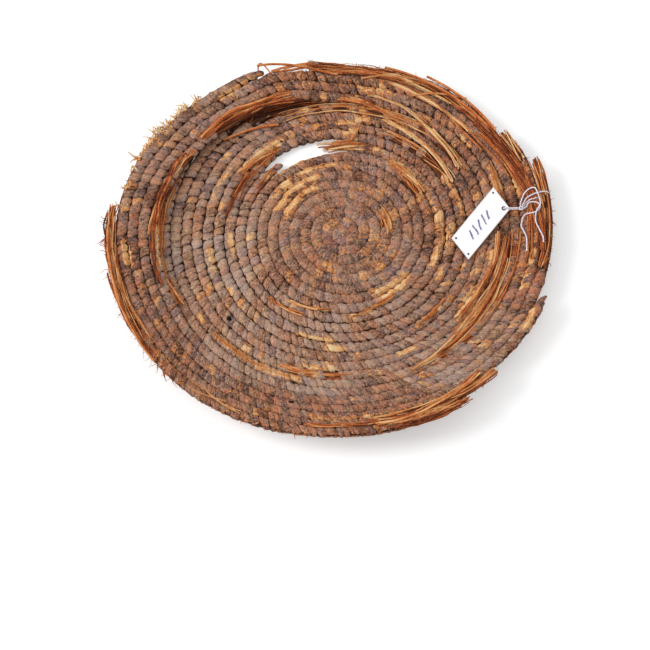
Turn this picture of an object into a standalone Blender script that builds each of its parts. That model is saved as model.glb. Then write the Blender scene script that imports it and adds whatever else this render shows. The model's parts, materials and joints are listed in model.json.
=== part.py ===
"""Shallow coiled basketry tray, old and torn, with a paper tag tied to its rim by a cotton thread.

The fabric is a bundle of stems coiled outwards and sewn row to row with flat strips. Lanes count the
rows from the middle of the coil: lane 1 is one row pitch out along the surface. Bearings run
counter-clockwise from +X. Up to lane FLAT_LANES the tray is flat, and past it the wall curves up as
an arc. The last rows have torn loose at the upper left and slid inwards, raised over the rest.
Metres, +Z up.
"""
import math

import bmesh
import bpy
from mathutils import Matrix, Vector

MM = 0.001

# driving sizes of the fabric
ROW_PITCH = 4.45 * MM          # from one row's middle to the next along the surface
ROW_WIDTH = 3.96 * MM          # a sewn row from side to side
ROW_HEIGHT = 3.90 * MM         # a sewn row through the fabric
SEWING_WALL = 0.42 * MM        # thickness of the sewing strips round the bundle
BUNDLE_CLEARANCE = 0.30 * MM   # between the bundle and the strips that hold it
SPLICE_GAP = 0.30 * MM         # between the end of one sewing strip and the start of the next
SEAT_GAP = 0.30 * MM           # between a piece and what it lies on
FLAT_SHARE = 0.5               # flat part of a row's top and bottom, as a share of its width
SWELL_SHARE = 1.20             # a bundle that lost its sewing, against a bound one

# the dish: where the wall starts, and how steep it is at RIM_LANE, every 30 degrees of bearing
FLAT_LANES = 11.0
RIM_LANE = 22.0
WALL_ANGLES_DEG = (24, 20, 13, 10, 10, 10, 12, 16, 22, 27, 27, 26)
SPREAD_SHARES = (1.0, 1.01, 1.01, 1.0, 1.0, 1.0, 1.0, 1.01, 1.02, 1.01, 1.0, 1.0)

# the torn rows: extra lanes and extra height, each from a place along the outer rows and over so
# many degrees of them
GAP_LANES = 0.8
GAP_FROM, GAP_RUN = 450.0, 25.0
SLIP_LANES = 2.2
SLIP_FROM, SLIP_RUN = 480.0, 65.0
BAND_LIFT = 4.4 * MM
LIFT_FROM, LIFT_RUN = 440.0, 35.0
LIFT_END_FROM, LIFT_END_RUN = SLIP_FROM + SLIP_RUN, 45.0     # down again once it has slipped

# the coil's tracks: lane = degrees / 360 + first lane, over these degrees
TURN = 360.0
STEP = 18.0                    # bearing between two rings of a tube, 20 to a turn
INNER_LANES = 13               # whole turns inside the torn line
CORE_START, HOLE_FROM = 0.6 * TURN, 9 * TURN + 91.0
HOLE_TO = 9 * TURN + 131.0
FRAYED_DEG = 6.0               # bare end of the bundle at the hole
LEAST_SWELL_DEG = 8.0          # a shorter bare end keeps its bound width

# stretches where the sewing is lost, as degrees along each track
CORE_BARE = ((4 * TURN + 2, 4 * TURN + 30), (8 * TURN + 30, 8 * TURN + 58))
MIDDLE_BARE = (
    (11 * TURN + 32, 11 * TURN + 68),
    (13 * TURN + 34, 13 * TURN + 112),
    (14 * TURN + 133, 14 * TURN + 180),
)
SECOND_BARE = ((250.0, 270.0), (317.0, 354.0))
THIRD_BARE = ((300.0, 358.0),)
RIM_BARE = ((540.0, 572.0), (643.0, 658.0))

# each outer length: its place in the count, where its bundle starts and ends, and its sewing
SECOND = (1, 118.0, 740.0, 122.0, 709.0)
THIRD = (2, 128.0, 700.0, 131.0, 698.0)
UNDER = (3, 146.0, 458.0, 149.0, 392.0)
FOURTH = (3, 475.0, 670.0, 476.0, 635.0)
RIM = (4, 538.0, 660.0, 572.0, 643.0)
OUTER_TURNS = 2                # whole turns that the first outer row runs on past the inner ones
MIDDLE_END_DEG, MIDDLE_SEWN_END_DEG = 32.0, 26.0
MIDDLE_END = (INNER_LANES + OUTER_TURNS) * TURN + MIDDLE_END_DEG
MIDDLE_SEWN_END = (INNER_LANES + OUTER_TURNS) * TURN + MIDDLE_SEWN_END_DEG

# loose stems: thickness, and how far their ends stand up off the rows
STEM_RADIUS = 0.5 * MM
STEM_TAPER_SHARE = 0.5
STEM_SIDES = 5
STRAW_TOP_RISE = 3.0 * MM
STRAW_RIGHT_RISE = 2.0 * MM
STRAW_FAR_RISE = 1.0 * MM
# each one's outer row, bearings from root to tip, and lanes aside at the root and more by the tip
STEM_IN_GAP = (3, 172.0, 207.0, 0.4, 0.0)
STRAW_TOP = (2, 452.0, 476.0, 0.2, 1.1)
STRAW_RIGHT = (3, 398.0, 437.0, 0.1, 0.2)
STRAW_FAR_RIGHT = (3, 396.0, 424.0, 0.45, 0.25)
STRAW_LEFT = (4, 541.0, 580.0, 0.3, 0.6)
# the strip across the gap starts on the inner coil: degrees, lanes aside, lanes more by the tip
STRIP_IN_GAP = (12 * TURN + 118, 12 * TURN + 139, 0.3, 2.0)

# knot of the thread, from the middle of the coil
KNOT_RADIUS = 1.1 * MM
KNOT_X, KNOT_Y = 73.2 * MM, 8.9 * MM

# paper tag
TAG_LENGTH = 28.3 * MM
TAG_WIDTH = 11.1 * MM
TAG_THICKNESS = 0.35 * MM
TAG_SKEW_DEG = 15.5            # the card was cut a little askew
TAG_HEADING_DEG, TAG_PITCH_DEG, TAG_ROLL_DEG = 52.1, 5.5, 8.0
TAG_REACH_X, TAG_REACH_Y = 16.6 * MM, 6.3 * MM     # from the tag's middle to the knot
TAG_DROP = 1.29 * MM           # from the knot down to the tag's middle
TIE_HOLE_RADIUS = 1.0 * MM
PIN_HOLE_RADIUS = 0.5 * MM
TIE_HOLE_INSET = 2.1 * MM
PIN_HOLE_INSET = 1.5 * MM
CUT_OVERRUN = 1.0 * MM

# cotton thread
THREAD_RADIUS = 0.28 * MM
THREAD_SPACING_SHARE = 4.5     # between a thread's points, against its radius
TIE_SPLAY_DEG = 24.0
TIE_CLEARANCE = 0.39 * MM      # between the card's faces and the thread tied through it

STEM_BROWN = (0.52, 0.22, 0.08)
STEM_TAN = (0.70, 0.42, 0.20)
STRIP_TAUPE = (0.23, 0.15, 0.11)
CARD_WHITE = (0.90, 0.90, 0.92)
COTTON_WHITE = (0.86, 0.84, 0.84)


def ease(value, start, run):
    """0 up to start, 1 once past the run, smooth between."""
    t = min(max((value - start) / run, 0.0), 1.0)
    return t * t * (3.0 - 2.0 * t)


def around(table, bearing):
    """Smooth periodic reading of a table spaced evenly round the tray."""
    count = len(table)
    place = (bearing % TURN) / TURN * count
    i = int(math.floor(place))
    f = place - i
    a, b, c, d = (table[(i + k) % count] for k in (-1, 0, 1, 2))
    bend = (2 * a - 5 * b + 4 * c - d) * f * f + (3 * b - a - 3 * c + d) * f ** 3
    return 0.5 * (2 * b + (c - a) * f + bend)


def surface(lane, bearing):
    """Radius, height and slope of the row middle at this lane and bearing."""
    pitch = ROW_PITCH * around(SPREAD_SHARES, bearing)
    bend = math.radians(around(WALL_ANGLES_DEG, bearing)) / (RIM_LANE - FLAT_LANES)
    past = max(lane - FLAT_LANES, 0.0)
    radius = pitch * (min(lane, FLAT_LANES) + math.sin(bend * past) / bend)
    height = ROW_HEIGHT / 2 + pitch * (1.0 - math.cos(bend * past)) / bend
    return radius, height, bend * past


def inner_lane(turned):
    return turned / TURN, 0.0


def outer_lane(index):
    """Lane and lift of the outer rows: index counts them outwards from the torn line."""
    def lane(turned):
        gap = GAP_LANES * ease(turned, GAP_FROM, GAP_RUN)
        slip = SLIP_LANES * ease(turned, SLIP_FROM, SLIP_RUN)
        lift = BAND_LIFT * ease(turned, LIFT_FROM, LIFT_RUN)
        lift *= 1.0 - ease(turned, LIFT_END_FROM, LIFT_END_RUN)
        return INNER_LANES + turned / TURN + index + slip + gap, lift
    return lane


def middle_lane(turned):
    """The inner coil past the hole, which runs on into the first outer row."""
    return outer_lane(0)(turned - INNER_LANES * TURN)


def hexagon(half_width, half_height, flat):
    """A row's section, points on its sides and flats above and below."""
    return ((half_width, 0.0), (flat, half_height), (-flat, half_height),
            (-half_width, 0.0), (-flat, -half_height), (flat, -half_height))


def inset(size, depth):
    """The hexagon (half width, half height, half flat) moved in by depth on every side."""
    width, height, flat = size
    slant = math.hypot(width - flat, height)
    new_height = height - depth
    new_width = width - depth * slant / height
    new_flat = (width * height - depth * slant - (width - flat) * new_height) / height
    return new_width, new_height, new_flat


ROW_SIZE = (ROW_WIDTH / 2, ROW_HEIGHT / 2, FLAT_SHARE * ROW_WIDTH / 2)
BORE_SIZE = inset(ROW_SIZE, SEWING_WALL)
BUNDLE_SIZE = inset(BORE_SIZE, BUNDLE_CLEARANCE)
ON_SEWING = ROW_SIZE[1]
ON_BARE_ROW = SWELL_SHARE * BUNDLE_SIZE[1]


def ring_at_step(track, turned, section, swell):
    """Section points of a track where it crosses one of the evenly spaced bearings."""
    lane, lift = track(turned)
    bearing = turned % TURN
    radius, height, slope = surface(lane, bearing)
    across, along = math.cos(math.radians(bearing)), math.sin(math.radians(bearing))
    points = []
    for side, up in section:
        out = radius + swell * (side * math.cos(slope) - up * math.sin(slope))
        rise = height + lift + swell * (side * math.sin(slope) + up * math.cos(slope))
        points.append(Vector((out * across, out * along, rise)))
    return points


def ring(track, turned, section, swell=1.0):
    """Section points anywhere along a track, on the straight run between its two steps."""
    low = math.floor(turned / STEP + 1e-9) * STEP
    share = (turned - low) / STEP
    first = ring_at_step(track, low, section, swell)
    if share < 1e-6:
        return first
    second = ring_at_step(track, low + STEP, section, swell)
    return [a.lerp(b, share) for a, b in zip(first, second)]


def stops(start, end, extra=()):
    """Start, end and every step between, with any extra places that keep clear of them."""
    near = STEP / 60
    places = [start, end]
    place = math.ceil((start + near) / STEP) * STEP
    while place < end - near:
        places.append(place)
        place += STEP
    for place in extra:
        if start < place < end and all(abs(place - other) > near for other in places):
            places.append(place)
    return sorted(places)


def over_rows(x, y, level):
    """A point x, y of the floor plan, so many thread widths above the rows there."""
    bearing = math.degrees(math.atan2(y, x)) % TURN
    reach = math.hypot(x, y)
    from_middle = bearing % STEP - STEP / 2
    reach *= math.cos(math.radians(from_middle)) / math.cos(math.radians(STEP / 2))
    lane = reach / ROW_PITCH
    for _ in range(8):
        lane += (reach - surface(lane, bearing)[0]) / ROW_PITCH
    top = surface(lane, bearing)[1] + ROW_HEIGHT / 2
    return Vector((x, y, top + SEAT_GAP + THREAD_RADIUS + level * (2 * THREAD_RADIUS + SEAT_GAP)))


def knot_centre():
    place = over_rows(KNOT_X, KNOT_Y, 0.0)
    place.z += KNOT_RADIUS - THREAD_RADIUS
    return place


KNOT_CENTRE = knot_centre()
TAG_CENTRE = KNOT_CENTRE - Vector((TAG_REACH_X, TAG_REACH_Y, TAG_DROP))


def material(name, colour, roughness):
    slot = bpy.data.materials.new(name)
    slot.use_nodes = True
    shader = slot.node_tree.nodes["Principled BSDF"]
    shader.inputs["Base Color"].default_value = (*colour, 1.0)
    shader.inputs["Roughness"].default_value = roughness
    shader.inputs["Metallic"].default_value = 0.0
    slot.diffuse_color = (*colour, 1.0)
    return slot


def add_object(name, data, colour, roughness):
    thing = bpy.data.objects.new(name, data)
    bpy.context.scene.collection.objects.link(thing)
    thing.data.materials.append(material(name, colour, roughness))
    thing.parent = TRAY
    return thing


def skin(mesh, rings):
    """Quads between rings of points, each a closed loop, in a bmesh."""
    loops = [[mesh.verts.new(point) for point in points] for points in rings]
    for one, two in zip(loops, loops[1:]):
        for k in range(len(one)):
            n = (k + 1) % len(one)
            mesh.faces.new((one[k], one[n], two[n], two[k]))
    return loops


def finish_mesh(name, mesh):
    bmesh.ops.recalc_face_normals(mesh, faces=mesh.faces)
    data = bpy.data.meshes.new(name)
    mesh.to_mesh(data)
    mesh.free()
    return data


def add_tube(name, rings, colour, roughness):
    """A solid tube through the rings, closed flat at both ends."""
    mesh = bmesh.new()
    loops = skin(mesh, rings)
    mesh.faces.new(loops[0])
    mesh.faces.new(loops[-1])
    return add_object(name, finish_mesh(name, mesh), colour, roughness)


def add_sleeve(name, outer, bore, colour, roughness):
    """A tube with a bore, open at both ends."""
    mesh = bmesh.new()
    outside = skin(mesh, outer)
    inside = skin(mesh, bore)
    for one, two in ((outside[0], inside[0]), (outside[-1], inside[-1])):
        for k in range(len(one)):
            n = (k + 1) % len(one)
            mesh.faces.new((one[k], one[n], two[n], two[k]))
    return add_object(name, finish_mesh(name, mesh), colour, roughness)


def least_gap(track, places, half_width):
    """Least space between neighbouring turns of one tube, measured on its rings' points."""
    section = hexagon(half_width, BUNDLE_SIZE[1], BUNDLE_SIZE[2])
    rings = {place: ring(track, place, section) for place in places}
    least = math.inf
    for place, points in rings.items():
        other = rings.get(place + TURN)
        if other:
            least = min(least, min((a - b).length for a in points for b in other))
    return least * math.cos(math.radians(STEP / 2))


def add_bundle(name, track, start, end, bare=()):
    """One unbroken length of the stem bundle, swollen where its sewing is lost."""
    margin = STEP / 4
    extra = [place for low, high in bare for place in (low, low + margin, high - margin, high)]
    places = stops(start, end, extra)
    section = hexagon(*BUNDLE_SIZE)
    rings = []
    for place in places:
        loose = any(low < place < high for low, high in bare)
        rings.append(ring(track, place, section, SWELL_SHARE if loose else 1.0))
    gap = least_gap(track, places, BUNDLE_SIZE[0] * SWELL_SHARE)
    if gap < math.inf:
        print(f"{name}: least gap between its turns {gap / MM:.2f} mm")
    return add_tube(name, rings, STEM_BROWN, 0.7)


def covered(start, end, bare):
    """The stretches of a track that keep their sewing."""
    place = start
    for low, high in bare:
        if low > place:
            yield place, low
        place = high
    if end > place:
        yield place, end


def add_sewing(name, track, start, end, bare=(), strip_turns=1.1):
    """The sewing strips of a track, each up to about a turn long, numbered outwards."""
    count = 0
    for low, high in covered(start, end, bare):
        parts = max(1, math.ceil((high - low) / (strip_turns * TURN)))
        for k in range(parts):
            first = low + (high - low) * k / parts
            last = low + (high - low) * (k + 1) / parts
            radius = surface(track(last)[0], last % TURN)[0]
            last -= math.degrees(SPLICE_GAP / radius) / math.cos(math.radians(STEP / 2))
            places = stops(first, last)
            outer = [ring(track, place, hexagon(*ROW_SIZE)) for place in places]
            bore = [ring(track, place, hexagon(*BORE_SIZE)) for place in places]
            count += 1
            add_sleeve(f"{name}_{count:02d}", outer, bore, STRIP_TAUPE, 0.8)


def smooth_route(points, spacing):
    """Points at about this spacing on a smooth curve through the route's own points."""
    route = [Vector(point) for point in points]
    ends = [route[0] + (route[0] - route[1]), *route, route[-1] + (route[-1] - route[-2])]
    result = []
    for i in range(1, len(ends) - 2):
        p0, p1, p2, p3 = ends[i - 1:i + 3]
        count = max(2, round((p2 - p1).length / spacing))
        for k in range(count):
            t = k / count
            bend = (2 * p0 - 5 * p1 + 4 * p2 - p3) * t * t + (3 * p1 - p0 - 3 * p2 + p3) * t ** 3
            result.append(0.5 * (2 * p1 + (p2 - p0) * t + bend))
    result.append(route[-1])
    return result


def add_thread(name, points):
    """A round cotton thread along a hand-chosen route."""
    data = bpy.data.curves.new(name, "CURVE")
    data.dimensions = "3D"
    data.bevel_depth = THREAD_RADIUS
    data.bevel_resolution = 2
    data.use_fill_caps = True
    route = smooth_route(points, THREAD_SPACING_SHARE * THREAD_RADIUS)
    spline = data.splines.new("POLY")
    spline.points.add(len(route) - 1)
    for point, place in zip(spline.points, route):
        point.co = (*place, 1.0)
    return add_object(name, data, COTTON_WHITE, 0.75)


def add_stem(name, track, start, end, side_lanes, drift_lanes, rise, colour, seat=ON_SEWING):
    """A loose stem along the rows: side in lanes, on a seat this high over the row's middle."""
    count = max(3, round((end - start) / (STEP / 3)))
    top = seat + SEAT_GAP + STEM_RADIUS

    def moved(turned):
        lane, lift = track(turned)
        share = (turned - start) / (end - start)
        return lane + side_lanes + drift_lanes * share, lift + rise(share)

    rings = []
    for k in range(count + 1):
        share = k / count
        thin = STEM_RADIUS * (1.0 - STEM_TAPER_SHARE * share)
        turns = [2 * math.pi * j / STEM_SIDES for j in range(STEM_SIDES)]
        section = [(thin * math.cos(a), top + thin * math.sin(a)) for a in turns]
        rings.append(ring(moved, start + (end - start) * share, section))
    return add_tube(name, rings, colour, 0.6)


def lying(share):
    return 0.0


def rearing(height):
    """A stem whose end stands up off the rows by height."""
    return lambda share: height * share * share


def tag_frame():
    """The tag's own axes: along its length to the tie end, across it, and out of its face."""
    heading, pitch, roll = (math.radians(a) for a in
                            (TAG_HEADING_DEG, TAG_PITCH_DEG, TAG_ROLL_DEG))
    along = Vector((math.cos(heading) * math.cos(pitch), math.sin(heading) * math.cos(pitch),
                    math.sin(pitch)))
    level = Vector((-math.sin(heading), math.cos(heading), 0.0))
    across = level * math.cos(roll) + along.cross(level) * math.sin(roll)
    return along, across, along.cross(across)


def tag_point(x, y, z=0.0):
    """A place on the tag: x and y from its middle, sheared by the crooked cut."""
    along, across, face = tag_frame()
    return TAG_CENTRE + along * (x + y * math.tan(math.radians(TAG_SKEW_DEG))) + across * y + face * z


def tie_hole():
    return tag_point(TAG_LENGTH / 2 - TIE_HOLE_INSET, TIE_HOLE_INSET - TAG_WIDTH / 2)


def add_tag():
    """The card with its tie hole and three pin holes, its origin on the knot it swings from."""
    mesh = bmesh.new()
    corners = [(sx * TAG_LENGTH / 2, sy * TAG_WIDTH / 2) for sx, sy in
               ((-1, -1), (1, -1), (1, 1), (-1, 1))]
    rings = [[tag_point(x, y, z) - KNOT_CENTRE for x, y in corners]
             for z in (-TAG_THICKNESS / 2, TAG_THICKNESS / 2)]
    loops = skin(mesh, rings)
    mesh.faces.new(loops[0])
    mesh.faces.new(loops[1])
    card = add_object("tag_card", finish_mesh("tag_card", mesh), CARD_WHITE, 0.6)
    card.parent = HINGE
    far, near = TAG_LENGTH / 2 - PIN_HOLE_INSET, TAG_WIDTH / 2 - PIN_HOLE_INSET
    holes = [(tie_hole(), TIE_HOLE_RADIUS)]
    for x, y in ((-far, -near), (-far, near), (far, near)):
        holes.append((tag_point(x, y), PIN_HOLE_RADIUS))
    face = tag_frame()[2]
    for number, (place, radius) in enumerate(holes):
        drill = bmesh.new()
        bmesh.ops.create_cone(drill, cap_ends=True, segments=12, radius1=radius, radius2=radius,
                              depth=TAG_THICKNESS + 2 * CUT_OVERRUN)
        drill.transform(Matrix.Translation(place - KNOT_CENTRE)
                        @ face.to_track_quat("Z", "Y").to_matrix().to_4x4())
        cutter = bpy.data.objects.new(f"drill_{number}", finish_mesh("drill", drill))
        bpy.context.scene.collection.objects.link(cutter)
        cutter.parent = HINGE
        cutter.hide_render = True
        cutter.display_type = "WIRE"
        cut = card.modifiers.new(f"hole_{number}", "BOOLEAN")
        cut.operation = "DIFFERENCE"
        cut.solver = "EXACT"
        cut.object = cutter


def from_knot(azimuth_deg, rise_deg):
    """Where a thread's end faces the knot, a seat gap off it."""
    azimuth, rise = math.radians(azimuth_deg), math.radians(rise_deg)
    reach = KNOT_RADIUS + SEAT_GAP
    return KNOT_CENTRE + reach * Vector((math.cos(rise) * math.cos(azimuth),
                                         math.cos(rise) * math.sin(azimuth), math.sin(rise)))


# the threads' routes, in millimetres of the floor plan and thread levels above the rows
LOOP_OUT = ((75.5, 11.9, 0), (77.6, 13.2, 0))
LOOP_BACK = ((78.4, 15.3, 0), (75.7, 13.9, 0.2))
# the turn round the bare bundle: side and height from its middle, and bearing
LOOP_TURN = ((-4.6, 2.53, 9.6), (-3.3, 2.5, 9.7), (-2.3, 1.3, 9.8), (-1.92, 0.0, 9.9),
             (-1.7, -1.3, 10.0), (0.0, -2.15, 10.2), (1.7, -1.3, 10.4), (2.05, 0.0, 10.6),
             (1.8, 1.3, 10.8), (0.4, 2.4, 11.0), (-1.6, 2.7, 11.1), (-3.6, 2.55, 11.2))
RING_TAIL = ((75.6, 9.9, 0.6), (76.1, 11.2, 0.3), (77.7, 11.8, 0), (80.0, 11.1, 0), (81.1, 9.3, 0),
             (80.0, 7.4, 0), (77.7, 6.8, 0), (75.6, 6.6, 0), (74.2, 5.6, 0), (73.5, 3.4, 0),
             (73.2, 1.2, 0), (74.4, -1.8, 0), (75.3, -5.0, 0), (75.3, -10.9, 0))
ARC_TAIL = ((73.2, 12.3, 0.2), (74.6, 16.0, 0), (76.8, 17.9, 0.3), (79.0, 17.6, 1),
            (80.5, 13.6, 1), (81.1, 9.9, 1), (79.6, 7.4, 1), (79.1, 5.0, 0.6), (79.2, 2.5, 0),
            (80.6, -1.5, 0), (82.0, -5.1, 0), (82.1, -7.7, 0))


def add_threads():
    """Knot, tie through the tag, loop round the bare rim bundle and the two loose ends."""
    knot = bmesh.new()
    bmesh.ops.create_icosphere(knot, subdivisions=1, radius=KNOT_RADIUS)
    ball = add_object("thread_knot", finish_mesh("thread_knot", knot), COTTON_WHITE, 0.75)
    ball.location = KNOT_CENTRE
    add_thread("thread_ring_tail", [from_knot(0, 10)]
               + [over_rows(x * MM, y * MM, level) for x, y, level in RING_TAIL])
    add_thread("thread_arc_tail", [from_knot(100, 5)]
               + [over_rows(x * MM, y * MM, level) for x, y, level in ARC_TAIL])
    turn = [ring(outer_lane(SECOND[0]), 2 * TURN + bearing, ((side * MM, up * MM),))[0]
            for side, up, bearing in LOOP_TURN]
    add_thread("thread_rim_loop", [from_knot(38, -5)]
               + [over_rows(x * MM, y * MM, level) for x, y, level in LOOP_OUT] + turn
               + [over_rows(x * MM, y * MM, level) for x, y, level in LOOP_BACK]
               + [from_knot(62, 30)])
    hole = tie_hole()
    face = tag_frame()[2]
    toward = (KNOT_CENTRE - hole).normalized()
    in_card = (toward - face * toward.dot(face)).normalized()
    splay = math.radians(TIE_SPLAY_DEG)
    reach = KNOT_RADIUS + SEAT_GAP
    off = TAG_THICKNESS / 2 + THREAD_RADIUS + TIE_CLEARANCE
    route = [KNOT_CENTRE + reach * (face * math.sin(splay) - toward * math.cos(splay)),
             hole + in_card * TIE_HOLE_INSET + face * off, hole + in_card * TIE_HOLE_RADIUS + face * off,
             hole + face * off / 2, hole - face * off / 2,
             hole + in_card * TIE_HOLE_RADIUS - face * off, hole + in_card * TIE_HOLE_INSET - face * off,
             KNOT_CENTRE + reach * (-face * math.sin(splay) - toward * math.cos(splay))]
    tie = add_thread("thread_tie", [place - KNOT_CENTRE for place in route])
    tie.parent = HINGE


def centre_tray():
    """Put the origin under the middle of the outline, at the base."""
    bpy.context.view_layer.update()
    low, high = Vector((math.inf,) * 3), Vector((-math.inf,) * 3)
    for thing in bpy.context.scene.objects:
        if thing.type != "MESH" or thing.hide_render:
            continue
        for vertex in thing.data.vertices:
            place = thing.matrix_world @ vertex.co
            low = Vector(map(min, low, place))
            high = Vector(map(max, high, place))
    TRAY.location = (-(low.x + high.x) / 2, -(low.y + high.y) / 2, 0.0)
    bpy.context.view_layer.update()
    print("coil centre", [round(value / MM, 3) for value in TRAY.location])
    print("tag hinge", [round(value / MM, 3) for value in HINGE.matrix_world.translation])
    print("size", [round(value / MM, 2) for value in high - low])


for old in list(bpy.data.objects):
    bpy.data.objects.remove(old, do_unlink=True)

TRAY = bpy.data.objects.new("tray_origin", None)
bpy.context.scene.collection.objects.link(TRAY)
HINGE = bpy.data.objects.new("tag_hinge", None)
bpy.context.scene.collection.objects.link(HINGE)
HINGE.parent = TRAY
HINGE.location = KNOT_CENTRE

add_bundle("bundle_core", inner_lane, CORE_START, HOLE_FROM, CORE_BARE)
add_bundle("bundle_middle", middle_lane, HOLE_TO, MIDDLE_END, MIDDLE_BARE)
add_sewing("sewing_core", inner_lane, CORE_START, HOLE_FROM - FRAYED_DEG, CORE_BARE)
add_sewing("sewing_middle", middle_lane, HOLE_TO + 2, MIDDLE_SEWN_END, MIDDLE_BARE)
for length, (index, start, end, sewn_from, sewn_to), bare in (
        ("second", SECOND, SECOND_BARE), ("third", THIRD, THIRD_BARE), ("under", UNDER, ()),
        ("fourth", FOURTH, ()), ("rim", RIM, RIM_BARE)):
    loose = [(low, high) for low, high in ((start - 1, sewn_from), (sewn_to, end + 1))
             if high - low > LEAST_SWELL_DEG]
    add_bundle(f"bundle_{length}", outer_lane(index), start, end, (*bare, *loose))
    add_sewing(f"sewing_{length}", outer_lane(index), sewn_from, sewn_to, bare)

add_stem("strip_across_gap", inner_lane, *STRIP_IN_GAP, lying, STEM_BROWN)
for name, (index, *run), rise, colour, seat in (
        ("stem_in_gap", STEM_IN_GAP, lying, STEM_BROWN, ON_SEWING),
        ("straw_top", STRAW_TOP, rearing(STRAW_TOP_RISE), STEM_TAN, ON_SEWING),
        ("straw_right", STRAW_RIGHT, rearing(STRAW_RIGHT_RISE), STEM_TAN, ON_BARE_ROW),
        ("straw_far_right", STRAW_FAR_RIGHT, rearing(STRAW_FAR_RISE), STEM_BROWN, ON_BARE_ROW),
        ("straw_left", STRAW_LEFT, lying, STEM_BROWN, ON_BARE_ROW)):
    add_stem(name, outer_lane(index), *run, rise, colour, seat)

add_tag()
add_threads()
centre_tray()
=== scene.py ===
"""Looks of a worn coiled basketry tray with a paper tag on a cotton thread.

Lanes count the rows outwards from the middle of the coil, and bearings run counter-clockwise from +X,
in degrees along the way that the bundle was wound. Everything is in metres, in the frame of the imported
solids, apart from the tables and arguments that say millimetres.
"""
import json
import math
import random

import bmesh
import bpy
import numpy as np
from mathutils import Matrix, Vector, noise


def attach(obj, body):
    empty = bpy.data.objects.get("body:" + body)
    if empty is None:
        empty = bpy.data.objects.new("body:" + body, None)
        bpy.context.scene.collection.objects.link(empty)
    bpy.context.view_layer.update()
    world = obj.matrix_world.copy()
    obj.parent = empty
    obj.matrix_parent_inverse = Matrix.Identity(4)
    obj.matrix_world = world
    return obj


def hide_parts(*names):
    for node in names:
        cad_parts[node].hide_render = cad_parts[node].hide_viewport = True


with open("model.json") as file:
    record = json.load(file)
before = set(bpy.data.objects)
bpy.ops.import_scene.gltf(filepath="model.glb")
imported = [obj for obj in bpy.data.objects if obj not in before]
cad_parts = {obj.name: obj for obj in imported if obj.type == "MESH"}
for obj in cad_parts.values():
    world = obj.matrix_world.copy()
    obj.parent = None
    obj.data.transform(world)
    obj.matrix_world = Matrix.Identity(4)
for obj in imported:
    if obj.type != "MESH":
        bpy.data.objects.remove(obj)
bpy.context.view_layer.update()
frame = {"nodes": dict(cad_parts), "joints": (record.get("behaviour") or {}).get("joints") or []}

MM = 0.001
TURN = 360.0
HINGE = Vector(frame["joints"][0]["pos_m"])

# rows and dish, as the solids have them
ROW_PITCH = 4.45 * MM
ROW_HEIGHT = 3.90 * MM
SEAT_GAP = 0.30 * MM
FLAT_LANES = 11.0
RIM_LANE = 22.0
WALL_ANGLES_DEG = (24, 20, 13, 10, 10, 10, 12, 16, 22, 27, 27, 26)
SPREAD_SHARES = (1.0, 1.01, 1.01, 1.0, 1.0, 1.0, 1.0, 1.01, 1.02, 1.01, 1.0, 1.0)

# torn rows: extra lanes and height, each from a place along the outer rows and over so many degrees
GAP_LANES = 0.8
GAP_FROM, GAP_RUN = 450.0, 25.0
SLIP_LANES = 2.2
SLIP_FROM, SLIP_RUN = 480.0, 65.0
BAND_LIFT = 4.4 * MM
LIFT_FROM, LIFT_RUN = 440.0, 35.0
LIFT_END_FROM, LIFT_END_RUN = SLIP_FROM + SLIP_RUN, 45.0
INNER_LANES = 13               # where the first outer row goes on from the inner coil
RING_STEP = 18.0               # bearing between two rings of the solids' rows

# the hole: the bearings that it lies between and the fade at its ends; then for the rows outside it and
# inside it, lanes from and to, the lane drawn furthest, the lanes reached either way, and the pull
HOLE_BEARINGS, HOLE_FADE_DEG = (98, 122), 20
HOLE_ROWS = ((9.7, 13.85, 10.25, 3.6, 0.42), (5.8, 9.0, 8.3, 2.5, -0.22))

# pin holes through the sewing, painted on as dark spots of shade: bearing and lane
PIN_HOLES = ((220.8, 13.61), (255.3, 18.57))

# thread: the hinge of the tag is the middle of its knot
THREAD_RADIUS = 0.28 * MM
THREAD_SPACING = 4.5 * THREAD_RADIUS    # from one point of a route to the next
KNOT_RADIUS = 1.1 * MM
KNOT_X, KNOT_Y = 73.2 * MM, 8.9 * MM
COIL = Vector((HINGE.x - KNOT_X, HINGE.y - KNOT_Y, 0.0))
TIE_SPLAY_DEG = 24.0
TIE_CLEARANCE = 0.39 * MM
PLIES = 3
PLY_RADIUS = 0.17 * MM
PLY_OFFSET = 0.14 * MM
PLY_PITCH = 1.5 * MM
PLY_STEP = 0.20 * MM
KNOT_TURNS = 3                 # of the thread wound on the knot

# the card, placed from the knot
TAG_LENGTH, TAG_WIDTH, TAG_THICKNESS = 28.3 * MM, 11.1 * MM, 0.35 * MM
TAG_SKEW_DEG = 15.5
TAG_HEADING_DEG, TAG_PITCH_DEG, TAG_ROLL_DEG = 52.1, 5.5, 8.0
TAG_CENTRE = HINGE - Vector((16.6 * MM, 6.3 * MM, 1.29 * MM))
TIE_HOLE_RADIUS = 1.0 * MM
TIE_HOLE_INSET = 2.1 * MM

# stitches
STITCH_PITCH = 3.8 * MM
STITCH_BITE = 0.40 * MM        # how far a stitch reaches into the row inside it
STITCH_OVERLAP_SHARE = 1.17    # length of a stitch over its pitch
STITCH_TUCKS = (0.26, 0.15)    # how much lower its two ends are, first the one that the next lies over
STITCH_SIDES = 12
STITCH_RINGS = 5
STRIP_REPEATS = 3.0            # of the strip's own pattern round a stitch

LOWEST = 0.02 * MM             # nothing is drawn below this
HIGHEST = 15.5 * MM            # and no stem above this
CORE_SIDES = 10
CORE_STEP = 3.0 * MM
GOLDEN_ANGLE = 2.399963        # radians from one stem of a bunch to the next


def ease(value, low, high):
    """0 up to low, 1 from high on, smooth between."""
    t = min(max((value - low) / (high - low), 0.0), 1.0)
    return t * t * (3.0 - 2.0 * t)


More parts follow.
